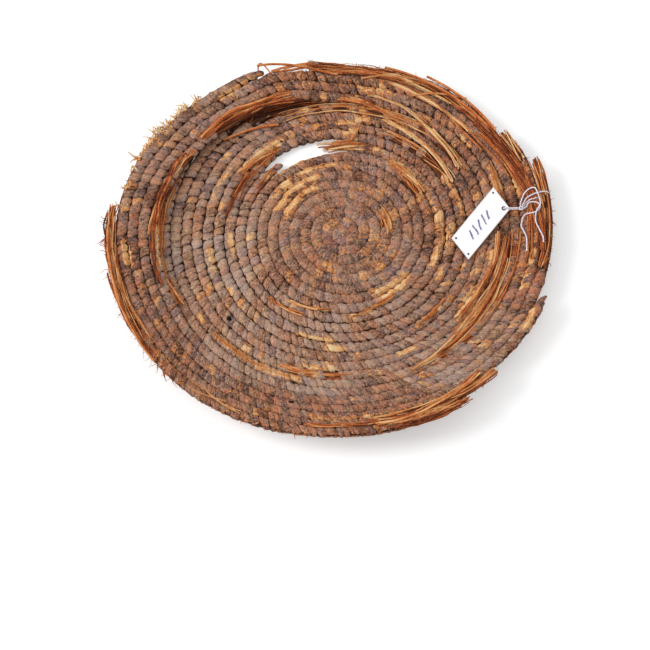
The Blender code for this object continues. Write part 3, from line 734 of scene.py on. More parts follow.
# worn places of the sewing: bearing and lane from, bearing and lane to, half width in lanes, depth
WORN = (
    (2, 4.35, 31, 4.4, 0.35, 0.9), (116, 5.4, 166, 5.5, 0.42, 0.64), (108, 6.4, 160, 6.5, 0.42, 0.66),
    (96, 7.3, 152, 7.4, 0.36, 0.6), (118, 5.3, 131, 5.5, 0.38, 0.88), (137, 5.4, 149, 5.6, 0.42, 0.95),
    (157, 5.5, 166, 5.4, 0.3, 0.8), (109, 6.5, 119, 6.3, 0.32, 0.86), (126, 6.4, 143, 6.6, 0.42, 0.95),
    (149, 6.4, 160, 6.6, 0.4, 0.85), (95, 7.3, 103, 7.3, 0.3, 0.78), (110, 7.2, 124, 7.4, 0.34, 0.9),
    (131, 7.5, 141, 7.3, 0.36, 0.85), (147, 7.4, 153, 7.5, 0.3, 0.75), (295, 6.9, 325, 7.0, 0.3, 0.75),
    (297, 7.6, 325, 7.5, 0.35, 0.85), (273, 8.7, 303, 7.9, 0.3, 0.85), (33, 8.5, 60, 8.7, 0.35, 0.9),
    (0, 8.6, 33, 8.7, 0.3, 0.6), (0, 9.1, 17, 9.2, 0.3, 0.6), (63, 9.2, 73, 9.2, 0.3, 0.7),
    (81, 9.6, 94, 9.3, 0.4, 0.95), (94, 8.6, 136, 8.5, 0.3, 0.7), (136, 9.0, 143, 9.0, 0.35, 0.9),
    (128, 9.9, 137, 9.9, 0.3, 0.85), (329, 9.9, 341, 9.9, 0.3, 0.8), (337, 8.7, 345, 8.9, 0.3, 0.8),
    (345, 8.8, 360, 9.4, 0.4, 0.6), (225, 9.4, 246, 9.2, 0.25, 0.6), (237, 8.5, 260, 8.0, 0.25, 0.6),
    (180, 10.3, 195, 10.3, 0.3, 0.8), (82, 10.8, 91, 10.5, 0.35, 0.9), (83, 11.7, 94, 11.7, 0.35, 0.8),
    (100, 11.6, 104, 11.5, 0.3, 0.9), (120, 11.2, 146, 11.3, 0.45, 0.95), (146, 10.8, 168, 10.9, 0.3, 0.6),
    (163, 11.7, 168, 11.7, 0.3, 0.7), (205, 11.9, 212, 11.9, 0.3, 0.6), (247, 11.0, 265, 11.0, 0.25, 0.9),
    (261, 11.9, 271, 11.9, 0.3, 0.8), (310, 11.75, 321, 11.7, 0.3, 0.85), (340, 11.5, 346, 11.5, 0.3, 0.7),
    (8, 11.2, 34, 11.1, 0.3, 0.75), (187, 12.3, 200, 12.3, 0.3, 0.8), (60, 12.5, 69, 12.5, 0.35, 0.8),
    (150, 12.5, 165, 12.5, 0.35, 0.5), (203, 13.3, 206, 13.3, 0.3, 0.8), (62, 13.4, 79, 13.6, 0.3, 0.65),
    (103, 13.6, 108, 13.6, 0.3, 0.9), (141, 13.4, 147, 13.4, 0.35, 0.7), (320, 13.5, 336, 13.3, 0.35, 0.9),
    (291, 13.7, 300, 13.7, 0.3, 0.8), (253, 14.2, 268, 14.2, 0.25, 0.9), (232, 14.7, 236, 14.7, 0.3, 0.8),
    (15, 15.0, 27, 15.2, 0.4, 0.95), (36, 14.7, 45, 14.9, 0.3, 0.7), (317, 14.1, 352, 14.0, 0.3, 0.7),
    (226, 15.6, 257, 15.7, 0.4, 0.6), (212, 15.7, 217, 15.7, 0.3, 0.8), (222, 15.7, 225, 15.7, 0.3, 0.8),
    (70, 15.3, 92, 15.6, 0.5, 0.45), (12, 16.6, 22, 16.8, 0.3, 0.8), (198, 16.7, 205, 16.7, 0.3, 0.7),
    (180, 17.3, 195, 17.3, 0.25, 0.7), (115, 17.8, 133, 17.8, 0.35, 0.65),
    (339, 17.5, 347, 17.7, 0.35, 0.5), (347, 17.8, 354, 17.8, 0.3, 0.85),
    (262, 20.3, 300, 20.3, 0.4, 0.55), (185, 20.2, 193, 20.2, 0.5, 0.8), (326, 20.1, 334, 19.8, 0.35, 0.9),
    (212, 21.2, 250, 21.4, 0.3, 0.5),
)
WORN_EDGE_DEG = 1.5

# browner and greyer arcs of the rows: bearing of the middle, half the arc, weight, then the lane that it
# comes in from and over how many lanes, less than none for an arc that lies inside that lane
WARM_ARCS = ((40.0, 90.0, 1.0, -1.0, 1.0), (222.0, 52.0, -0.7, 18.5, -2.0), (160.0, 30.0, 0.35, 15.0, 2.0),
             (312.0, 24.0, -0.5, 13.0, 2.0))
BROWN_ARCS = ((264.0, 38.0, 1.0, 17.0, 2.0), (-4.0, 30.0, 0.65, 15.0, 2.0), (205.0, 30.0, 1.0, 17.5, 2.0))


def risen(values, start, run):
    """0 up to a start, 1 after a run, straight between, for whole arrays."""
    return np.clip((values - start) / run, 0.0, 1.0)


def eased(values, low, high):
    """The same as ease, for whole arrays."""
    t = risen(values, low, high - low)
    return t * t * (3.0 - 2.0 * t)


def wear_at(lanes, bearings):
    """How far the sewing is worn at each place: 0 sound, 1 down to the fibre."""
    bearings = bearings % TURN
    inside = 1.0 - eased(lanes, 4.0, 9.0)
    right = eased(np.cos(np.radians(bearings - 45.0)), 0.1, 0.8) * eased(lanes, 7.0, 10.0)
    most = 0.14 + 0.02 * inside + 0.10 * right
    for start, lane, end, end_lane, half, depth in WORN:
        off = np.abs(lanes - lane - (end_lane - lane) * risen(bearings, start, end - start))
        across = 1.0 - eased(off, half * 0.55, half * 1.35)
        along = (eased(bearings, start - WORN_EDGE_DEG, start + WORN_EDGE_DEG)
                 * (1.0 - eased(bearings, end - WORN_EDGE_DEG, end + WORN_EDGE_DEG)))
        most = np.maximum(most, depth * across * along)
    return most


def warmth_at(lanes, bearings):
    """How brown rather than grey the sewing is."""
    def arc(middle, half, weight, start, run):
        edge = math.cos(math.radians(half))
        near = risen(np.cos(np.radians(bearings - middle)), edge, (1.0 - edge) / 2.0)
        return weight * near * risen(lanes, start, run)
    warm = sum(arc(*entry) for entry in WARM_ARCS)
    brown = np.maximum.reduce([arc(*entry) for entry in BROWN_ARCS])
    return 0.42 + 0.30 * warm * risen(lanes, 5.0, 6.0) + 0.36 * brown + 0.20 * risen(lanes, 9.0, -5.0)


def near_side(bearing, low, high, edge):
    """1 on an arc of the near side, counted from 30 degrees so that it doesn't pass 0."""
    return spell((bearing - 30.0) % TURN, low, high, edge)


def pitch_at(lane, bearing):
    """Length of a stitch along its row: finer low on the wall, and finest at the near rim."""
    near = ease(lane, 9.0, 13.5) * near_side(bearing, 175, 342, 18)
    rim = ease(lane, 20.0, 21.0) * spell(bearing, 240, 290, 10)
    centre = 1.0 - ease(lane, 1.0, 4.0)
    return STITCH_PITCH * (1.0 - 0.28 * near - 0.16 * rim - 0.2 * centre)


def softness(lane, bearing):
    """How far the rows are rubbed smooth: most in the middle, some low on the near side."""
    near = 0.34 * near_side(bearing, 182, 325, 15) * ease(lane, 11.0, 14.0)
    return max(1.0 - ease(lane, 3.0, 9.0), near)


def slant_at(lane, bearing):
    """Drift of a stitch along the row for each length outwards."""
    near = spell(bearing, 225, 335, 25) * ease(lane, 6.0, 10.0)
    return 0.18 + 0.24 * near + 0.12 * ease(lane, 4.0, 5.0)


def end_size(turned, low, high, radius):
    """How far the coil is thinned near the broken ends of a length."""
    near = math.radians(min(turned - low, high - turned)) * radius
    return 0.55 + 0.45 * ease(near, 0.0, 8.0 * MM)


def stitched(name, track, stretches, seed, thinned, nodes):
    """The sewing of one length of the coil, thinned or not towards the length's two ends."""
    rng = random.Random(seed)
    points, places, rubbed, worn = [], [], [], []
    told = {label: [] for label in ("along", "up", "size", "slant", "shade")}
    first, last = stretches[0][0], stretches[-1][1]
    for low, high, kept in stretches:
        turned = low
        while turned < high:
            lane = track(turned)[0]
            pitch = pitch_at(lane, turned % TURN)
            radius = surface(lane, turned)[0]
            if rng.random() <= kept:
                thin = end_size(turned, first, last, radius) if thinned else 1.0
                soft = softness(lane, turned)
                points.append(spot(track, turned + rng.uniform(-0.3, 0.3), rng.uniform(-0.12, 0.12) * MM,
                                   rng.uniform(-0.15, 0.1) * MM))
                along, up = directions(track, turned)
                told["along"].append(along)
                told["up"].append(up)
                told["size"].append((pitch / STITCH_PITCH * rng.uniform(0.90, 1.18) * (1.0 + 0.25 * soft),
                                     thin * rng.uniform(0.94, 1.04) * (1.0 + 0.10 * soft),
                                     thin * rng.uniform(0.86 + 0.06 * soft, 1.0)))
                told["slant"].append(slant_at(lane, turned % TURN) + rng.uniform(-0.14, 0.14))
                told["shade"].append(rng.random())
                # share of the painted crease shade that a stitch keeps: less where the rows are rubbed
                # smooth
                rubbed.append(1.0 - 0.7 * soft)
                places.append((lane, turned % TURN))
                warmth = float(warmth_at(lane, turned))
                chance = 0.05 + 0.32 * max(warmth - 0.5, 0.0) + 0.10 * (1.0 - ease(lane, 4.0, 9.0))
                worn.append(rng.uniform(0.12, 0.42) if rng.random() < 1.5 * chance else 0.0)
            turned += min(60.0, math.degrees(pitch / radius))
    data = bpy.data.meshes.new(name)
    data.from_pydata(points, [], [])
    for label, values in told.items():
        store(data, label, values)
    piece = grow(name, data, STITCH_TREE, Stitch=STITCH, Seed=seed, Finish=STRIP_FINISH)

    # where each point of each stitch lies, for the wear and the run of the fibre
    each = len(STITCH_POINTS)
    local = np.tile(STITCH_POINTS, (len(points), 1)) * np.repeat(np.array(told["size"]), each, axis=0)
    reach = np.repeat([surface(*place)[0] for place in places], each)
    lanes, bearings = np.repeat(np.array(places), each, axis=0).T
    lanes_here = lanes - local[:, 1] / ROW_PITCH
    bearings_here = bearings + np.degrees(local[:, 0] / reach)
    # painted shade in the creases of each stitch, for the strip's finish
    crease_shade_mask = np.tile(STITCH_CREASE, len(points)) * np.repeat(rubbed, each)
    piece.data.attributes["crease_shade_mask"].data.foreach_set("value", crease_shade_mask.astype(np.float32))
    store(piece.data, "wear", wear_at(lanes_here, bearings_here) + np.repeat(worn, each))
    store(piece.data, "warm", warmth_at(lanes_here, bearings_here))
    store(piece.data, "run", reach * np.radians(bearings) + local[:, 0])
    store(piece.data, "cross", lanes_here * ROW_PITCH)
    return settle(piece, "tray", "sewing_strip", *nodes)


class Stems:
    """Stems gathered for one piece: lines with a thickness at each point and a tone."""

    def __init__(self, seed):
        self.rng = random.Random(seed)
        self.points, self.edges, self.thick, self.tone = [], [], [], []

    def add(self, points, radius, tone, taper_share=0.4, root_share=0.2):
        """One stem through points, thinned towards its tip and, by root_share, its root."""
        first = len(self.points)
        last = len(points) - 1
        for k, point in enumerate(points):
            share = k / last
            thin = radius * (1.0 - taper_share * share ** 2 - root_share * (1.0 - share) ** 2)
            self.points.append((point.x, point.y, min(max(point.z, thin + LOWEST), HIGHEST - thin)))
            self.thick.append(thin)
            self.tone.append(tone)
            if k:
                self.edges.append((first + k - 1, first + k))

    def bunch(self, path, count, half_width, half_height, girths, tones, slack=0.3, fray=0.0, up=0.0,
              broken=0.25, drift=0.8, flare=0.6):
        """Stems filling an oval section along a path, some of them broken short. Lengths in mm."""
        rng = self.rng
        length = run_length(path)
        for k in range(count):
            reach = math.sqrt((k + 0.5) / count)
            angle = k * GOLDEN_ANGLE
            side = reach * math.cos(angle) * half_width
            side_end = min(max(side + rng.gauss(0.0, drift), -1.15 * half_width), 1.15 * half_width)
            rise = up + reach * math.sin(angle) * half_height
            low, high = -rng.random() * fray * MM / length, 1.0 + rng.random() * fray * MM / length
            if rng.random() < broken:
                cut = rng.uniform(0.15, 0.7)
                low, high = (cut, high) if rng.random() < 0.5 else (low, 1.0 - cut)
            seed = rng.uniform(0, 100)
            flares = rng.uniform(-0.3, 1.0) * flare, rng.uniform(-0.3, 1.0) * flare
            steps = max(4, round(length * (high - low) / (1.8 * MM)))
            points = []
            for i in range(steps + 1):
                gone = i / steps
                share = low + (high - low) * gone
                wave = share * length
                sway = noise.noise(Vector((wave * 90.0, seed, 0.0))) * slack * 1.8
                sway += noise.noise(Vector((wave * 260.0, seed, 5.0))) * slack * 0.35
                lift = noise.noise(Vector((wave * 110.0, seed, 9.0))) * slack
                lift += flares[0] * ease(0.2 - gone, 0.0, 0.2) + flares[1] * ease(gone, 0.8, 1.0)
                aside = side + (side_end - side) * gone + sway
                points.append(path(share, aside * MM, (rise + lift) * MM))
            girth = girths[0] + (girths[1] - girths[0]) * rng.random() ** 1.8
            self.add(points, girth * MM, rng.uniform(*tones), 0.35, 0.25)

    def tuft(self, root, heading, count, length, radius, tones, curl, spread, steps=5):
        """Short loose fibres from one place. Length and radius in mm."""
        rng = self.rng

        def scattered(by):
            return Vector([rng.gauss(0.0, by) for _ in range(3)])

        for _ in range(count):
            going = (heading + scattered(spread)).normalized()
            bend = scattered(curl)
            reach = length * rng.uniform(0.45, 1.15) * MM / steps
            points = [root + scattered(0.25 * MM)]
            for _ in range(steps):
                points.append(points[-1] + going * reach)
                going = (going + bend * 0.35).normalized()
            self.add(points, radius * rng.uniform(0.6, 1.2) * MM, rng.uniform(*tones), 0.6, 0.0)

    def piece(self, name, nodes=(), sides=5, flat=0.6, finish=STEM_FINISH, body="tray",
              slot="stem_bundle"):
        """All the stems so far as one piece, which stands for the nodes."""
        data = bpy.data.meshes.new(name)
        data.from_pydata(self.points, self.edges, [])
        store(data, "thick", self.thick)
        store(data, "tone", self.tone)
        grown = grow(name, data, FIBRE_TREE, Sides=sides, Flatness=flat, Finish=finish)
        return settle(grown, body, slot, *nodes)


def core_tube(name, track, start, end, bare, nodes):
    """The bundle inside the sewing, thinner where it shows and stems lie over it."""
    mesh = bmesh.new()
    layers = [mesh.verts.layers.float.new(label) for label in ("run", "girth", "bare")]
    loops = []
    turned = start
    while turned <= end:
        radius = surface(track(turned)[0], turned)[0]
        loose = max([spell(turned, low, high, 1.5) for low, high, *rest in bare], default=0.0)
        thin = end_size(turned, start, end, radius)
        half_width = ROW_PITCH * 0.50 * thin
        half_height = ROW_HEIGHT * (0.34 - 0.06 * loose) * thin
        loop = []
        for i in range(CORE_SIDES):
            angle = 2 * math.pi * i / CORE_SIDES
            vertex = mesh.verts.new(spot(track, turned, half_width * math.cos(angle),
                                         half_height * math.sin(angle)))
            for layer, value in zip(layers, (len(loops) * CORE_STEP, i / CORE_SIDES, loose)):
                vertex[layer] = value
            loop.append(vertex)
        loops.append(loop)
        turned += math.degrees(CORE_STEP / radius)
    for one, two in zip(loops, loops[1:]):
        for i in range(CORE_SIDES):
            n = (i + 1) % CORE_SIDES
            mesh.faces.new((one[i], two[i], two[n], one[n]))
    mesh.faces.new(loops[0])
    mesh.faces.new(loops[-1])
    bmesh.ops.recalc_face_normals(mesh, faces=mesh.faces)
    data = mesh_from(name, mesh)
    data.shade_smooth()
    data.materials.append(CORE_FINISH)
    return settle(link(name, data), "tray", "stem_bundle", *nodes)


def covered(start, end, bare):
    """The stretches of a track, with the share of its stitches that each one keeps."""
    place = start
    kept = []
    for low, high, share in bare:
        if low > place:
            kept.append((place, low, 1.0))
        kept.append((low, high, share))
        place = high
    if end > place:
        kept.append((place, end, 1.0))
    return kept


def turns(whole, *stretches):
    """Stretches (from, to, kept share) of the turn that starts after so many whole ones."""
    return tuple((whole * TURN + low, whole * TURN + high, share) for low, high, share in stretches)


# lengths of the coil: track, bundle from and to, sewing from and to, stretches without sewing with
# the share of stitches still there
LENGTHS = {
    "core": (inner_lane, 0.04 * TURN, 9 * TURN + 90, 0.04 * TURN, 9 * TURN + 86,
             (*turns(4, (2, 30, 0.3)), *turns(8, (30, 58, 0.35)))),
    "middle": (middle_lane, 9 * TURN + 132, 15 * TURN + 32, 9 * TURN + 130.5, 15 * TURN + 26,
               (*turns(11, (32, 68, 0.4)), *turns(13, (34, 112, 0.6)),
                *turns(14, (112, 141, 0.0), (153, 158, 0.1), (164, 181, 0.0)))),
    "second": (outer_lane(1), 118.0, 740.0, 122.0, 709.0, ((250.0, 270.0, 0.5), (317.0, 354.0, 0.55))),
    "third": (outer_lane(2), 128.0, 696.0, 131.0, 698.0, ((300.0, 358.0, 0.6),)),
    "under": (outer_lane(3), 146.0, 458.0, 149.0, 392.0, ()),
    "fourth": (outer_lane(3), 475.0, 670.0, 476.0, 640.0, ()),
    "rim": (outer_lane(4), 538.0, 660.0, 572.0, 643.0, ((540.0, 572.0, 0.0), (643.0, 658.0, 0.0))),
}


def nodes_called(stem):
    """The solids whose names start so."""
    return [name for name in sorted(frame["nodes"]) if name.startswith(stem)]


# bare stems of a length of bundle, by how they lie: how many against the plain ones, half width, girths
# in mm, tones, and how they stray; lengths in mm
PLAIN = (1.0, 1.7, (0.25, 0.85), (0.05, 0.70), {"slack": 0.4, "broken": 0.5, "drift": 0.8, "flare": 0.6})
BROAD = (0.55, 1.7, (0.38, 1.10), (0.05, 0.50), {"slack": 0.4, "broken": 0.5, "drift": 0.8, "flare": 0.6})
TANGLED = (2.0, 1.9, (0.18, 0.55), (0.05, 0.58),
           {"slack": 0.9, "broken": 0.8, "drift": 1.6, "flare": 1.2})
TANGLED_LENGTHS = ("rim", "under")
BARE_FROM_DEG = (8.0, 3.0)      # degrees without sewing at a length's start and end from which stems show


def lying(name, kept):
    """How the bare stems of a length lie where this share of its sewing is kept."""
    if name in TANGLED_LENGTHS:
        return TANGLED
    return BROAD if name == "middle" and kept < 0.2 else PLAIN


def dress_coil():
    """Cores, sewing and bare stems of every length of the coil."""
    for seed, (name, (track, start, end, sewn, unsewn, bare)) in enumerate(LENGTHS.items()):
        loose = list(bare)
        if end - unsewn > BARE_FROM_DEG[1]:
            loose.append((unsewn, end, 0.0))
        if sewn - start > BARE_FROM_DEG[0]:
            loose.append((start, sewn, 0.0))
        core_tube("core_" + name, track, start, end, loose, nodes_called("bundle_" + name))
        stitched("stitches_" + name, track, covered(sewn, unsewn, bare), seed + 11, name != "core",
                 nodes_called("sewing_" + name + "_"))
        stems = Stems(seed + 40)
        for low, high, kept in loose:
            path = on_track(track, low - 1.5, high + 1.0)
            more, half_width, girths, tones, strays = lying(name, kept)
            count = round(round(15 * (1.0 - kept) + 4) * more)      # more where less sewing is kept
            stems.bunch(path, count, half_width, 1.3, girths, tones, fray=3.0, up=0.2, **strays)
            stems.bunch(path, 7, 1.8, 0.3, (0.2, 0.42), (0.55, 1.0), slack=0.5, fray=3.0, up=1.7,
                        broken=0.8, drift=1.5)
        stems.piece("stems_" + name)


# strips of bare stems that lie over the rows, and on the raised band: bearing and lane of places along
# each, how many stems, half width in mm, darkest and lightest tone
LAID = (
    (((78, 14.6), (68, 14.3), (62, 13.95), (52, 13.4), (42.7, 13.1), (34, 12.8)), 12, 0.9, (0.65, 1.25)),
    (((118, 14.7), (110, 14.5), (102, 14.3), (95, 14.15), (87, 14.0), (79, 13.75)), 14, 1.2, (0.1, 0.75)),
    (((89, 14.15), (81, 13.8), (73, 13.2), (65.5, 12.8)), 9, 0.9, (0.4, 0.85)),
    (((70, 12.35), (59, 12.05), (51.5, 11.85), (40, 11.65), (29.7, 11.5)), 10, 0.8, (0.65, 1.25)),
    (((58, 8.65), (47.5, 8.5), (39, 8.53), (32.5, 8.5)), 8, 0.7, (0.6, 1.1)),
    (((33, 4.4), (19, 4.4), (4, 4.28)), 6, 0.7, (0.5, 0.9)),
    (((356, 15.1), (346, 14.95), (338, 14.8), (330, 14.6), (322, 14.65), (313, 15.0), (305, 15.4),
      (296, 15.85)), 10, 0.6, (0.5, 1.1)),
    (((357, 14.4), (348, 14.3), (341, 14.05), (332.6, 13.9), (322, 13.9)), 9, 0.7, (0.4, 1.0)),
    (((357, 15.5), (340, 15.2), (322, 15.3), (305, 15.6)), 7, 0.6, (0.2, 0.8)),
    (((145, 11.35), (137, 11.1), (129, 10.9)), 10, 1.1, (0.5, 1.0)),
    (((168, 10.85), (159, 10.8), (148, 10.65)), 9, 0.9, (0.05, 0.5)),
    (((98, 9.0), (91, 9.15), (84, 9.25)), 12, 1.0, (0.4, 1.0)),
    (((95, 9.3), (88, 9.5), (84, 10.2), (82.7, 10.9)), 9, 0.8, (0.5, 1.0)),
    (((225, 9.5), (234, 9.33), (245, 9.2)), 5, 0.5, (0.5, 0.95)),
    (((238, 8.5), (249, 8.25), (260, 7.97)), 5, 0.5, (0.5, 0.95)),
    (((197, 16.95), (200, 16.8), (206, 16.5)), 7, 0.7, (0.1, 0.7)),
    (((186, 16.7), (179, 16.72), (172, 16.6), (165, 16.35)), 7, 0.6, (0.2, 0.8)),
    (((308, 11.8), (315, 11.8), (321, 11.7)), 6, 0.7, (0.4, 0.8)),
    (((277, 8.7), (289, 8.25), (303, 7.9)), 7, 0.6, (0.4, 0.9)),
    (((104, 17.0), (97, 16.95), (90, 16.9), (83, 16.9), (75, 16.75), (68, 16.6)), 8, 1.0, (0.3, 0.85)),
    (((73, 16.2), (63, 15.85), (55, 15.7), (46, 15.65), (41.8, 15.7)), 9, 0.7, (0.6, 1.2)),
    (((76, 17.1), (72, 17.08), (67, 16.7), (61, 16.6), (55, 16.55)), 6, 0.7, (0.5, 1.1)),
    (((62.4, 17.5), (57, 17.43), (51.4, 17.3), (44.4, 17.1), (37.4, 17.07)), 9, 1.0, (0.1, 0.75)),
    (((41.6, 16.95), (34, 17.0), (26, 17.3), (18, 17.65), (10, 18.0), (2, 18.35), (-6, 18.6)), 22, 1.7,
     (0.05, 0.58)),
    (((38, 16.2), (30, 16.5), (20, 16.9), (11, 17.4), (2, 17.7)), 12, 1.1, (0.2, 0.7)),
    (((17, 17.9), (8, 17.6), (-1, 17.5), (-9, 17.6)), 8, 1.1, (0.2, 0.75)),
    (((26, 15.2), (20, 15.1), (12, 15.0)), 7, 0.9, (0.3, 0.9)),
    (((279, 21.5), (286, 21.3), (294, 20.9), (301, 20.5), (308, 20.1)), 22, 1.6, (0.15, 0.85)),
    (((262, 21.3), (270, 21.35), (279, 21.3)), 9, 1.0, (0.3, 0.9)),
    (((180, 21.3), (187, 21.8), (197, 21.9), (207, 21.85), (217, 21.75)), 24, 1.8, (0.0, 0.5)),
    (((235, 21.3), (239, 21.6), (243, 21.7)), 5, 0.5, (0.8, 1.0)),
    (((223, 15.75), (231, 15.75), (243, 15.75)), 5, 0.6, (0.3, 0.8)),
)
LAID_ON_BAND = (
    (((143, 16.1), (137, 16.05), (130, 15.85), (125, 15.5), (119, 15.2)), 5, 0.5, (0.05, 0.6)),
    (((143, 15.75), (137, 15.55), (130, 15.25), (124, 15.05), (117, 14.6), (109, 14.25)), 7, 0.7,
     (0.1, 0.55)),
    (((157, 16.9), (164, 16.95), (171, 17.25), (177, 17.42), (184, 17.6), (190, 17.75), (199, 17.8)),
     16, 0.9, (0.0, 0.6)),
)
# loose straws: bearing and lane of places along each, radius in mm, tone
STRAWS = (
    (((91.5, 16.6), (94, 17.05), (99, 17.9), (105.9, 18.1), (111.7, 18.15)), 0.62, 0.55),
    (((90, 16.7), (95, 17.2), (100.4, 17.65), (106, 17.7), (111.4, 18.0)), 0.58, 0.35),
    (((92, 17.0), (97, 17.5), (102, 17.95), (108, 18.0)), 0.50, 0.80),
    (((112, 17.9), (113, 19.0), (114.2, 19.2), (115.5, 18.5)), 0.42, 0.55),
    (((110, 16.2), (108, 16.9), (105.5, 17.1), (105, 16.2)), 0.25, 0.85),
    (((124, 17.1), (119, 17.3), (114, 17.9), (111, 18.0)), 0.36, 0.30),
    (((66, 15.5), (60, 16.6), (54, 17.4), (50, 17.9)), 0.34, 0.65),
    (((84, 16.2), (76, 16.9), (69, 17.2), (63, 17.5)), 0.30, 0.80),
    (((45, 15.7), (36, 15.6), (28, 15.9), (20, 16.3)), 0.34, 0.45),
    (((33, 15.3), (44, 15.2), (56, 15.8), (66, 16.3)), 0.30, 0.55),
    (((240, 21.2), (236, 21.6), (233, 21.9), (230, 22.0)), 0.22, 0.75),
)


def edge_at(bearing):
    """Lane and lift of the outermost row at a bearing."""
    found = (0.0, 0.0)
    for track, start, end, *rest in LENGTHS.values():
        turned = bearing + TURN * math.ceil((start - bearing) / TURN)
        while turned <= end:
            found = max(found, track(turned))
            turned += TURN
    return found


def lay_strips():
    """Bare stems seen on top of the rows where the sewing and the bundle have come apart."""
    strips = Stems(301)
    for group, raised, girths in ((LAID, False, (0.18, 0.62)), (LAID_ON_BAND, True, (0.3, 0.85))):
        for places, count, half_width, tones in group:
            strips.bunch(on_rows(places, raised), count, half_width, 0.35, girths, tones, slack=0.4,
                         fray=3.0, up=0.1, broken=0.6, drift=0.8)
    return strips.piece("laid_strips")


# frayed stems at the broken ends of the coil beside the hole: track, turn, bearings from and to, how
# many, half width and height in mm, girths in mm, tones, and how they stray
HOLE_FRAYS = (
    (middle_lane, 9, 136.0, 155.0, 24, 1.9, 1.3, (0.18, 0.55), (0.0, 0.85),
     {"slack": 0.7, "fray": 4.0, "up": 0.7, "broken": 0.7, "flare": 0.8}),
    (middle_lane, 10, 126.0, 158.0, 16, 1.4, 0.5, (0.15, 0.5), (0.05, 0.8),
     {"slack": 0.6, "fray": 3.0, "up": 1.7, "broken": 0.9, "flare": 0.6}),
    (inner_lane, 9, 80.0, 99.0, 26, 1.9, 1.4, (0.2, 0.55), (0.35, 1.15),
     {"slack": 0.6, "fray": 4.0, "up": 0.8, "broken": 0.7, "flare": 0.8}),
)


def fray_hole():
    """Loosened stems at both broken ends of the coil beside the hole."""
    fray = Stems(304)
    for track, turn, low, high, count, half_width, half_height, girths, tones, strays in HOLE_FRAYS:
        fray.bunch(on_track(track, turn * TURN + low, turn * TURN + high), count, half_width, half_height,
                   girths, tones, drift=1.4, **strays)
    return fray.piece("hole_fray")


# the torn gap: bearing and lane of places along it, down between the rows and up beside them
GAP_WEDGE = ((140, 15.0), (132, 14.9), (124, 14.7), (116, 14.4), (108, 14.15), (98, 14.0), (88, 13.9),
             (80, 13.8))
GAP_BESIDE = ((148, 16.6), (158, 16.85), (168, 16.95), (180, 17.0), (195, 17.05), (212, 16.95))


def fill_torn_gap():
    """Frayed bundle down between the inner rows and the raised band."""
    filler = Stems(302)

    def wedge(share, side=0.0, up=0.0):
        bearing, lane = smooth_between(GAP_WEDGE, share)
        return over(lane, 0.0, bearing, side, up)

    # the darkest stem tones, here and beside the band, are painted shade of the gap under the raised band
    filler.bunch(wedge, 46, 2.9, 1.2, (0.35, 0.8), (-0.15, 0.15), slack=0.5, up=-0.9, broken=0.1,
                 drift=0.6, flare=0.0)
    filler.bunch(on_rows(GAP_BESIDE), 26, 1.9, 0.8, (0.35, 0.8), (0.0, 0.3), slack=0.4, up=-2.6,
                 broken=0.2, drift=0.5, flare=0.0)
    return filler.piece("torn_gap_filler")


# short hairs round the rim: bearings from and to, how many, length in mm, tones
RIM_HAIRS = (
    (112, 180, 40, 2.0, (0.3, 0.9)), (178, 226, 110, 5.4, (0.05, 0.7)), (222, 262, 100, 2.8, (0.2, 1.0)),
    (262, 312, 90, 2.2, (0.3, 1.0)), (312, 348, 60, 2.0, (0.2, 0.8)), (348, 412, 80, 3.0, (0.1, 0.8)),
    (412, 472, 50, 3.2, (0.3, 0.9)),
)
# bearings of the rim's dense stubs
RIM_STUBS = (103.6, 101.0, 335.0, 338.0, 341.0, 344.0, 348.0, 352.0, 356.0, 62.0, 312.0, 307.0)
FLAT_HAIRS = 150                # hairs tried for all over the rows, and the lanes they lie between
FLAT_HAIR_LANES = (6.0, 19.0)
BAND_FROM_LANE = 15.6           # from this lane outwards they lie on the raised band where it is


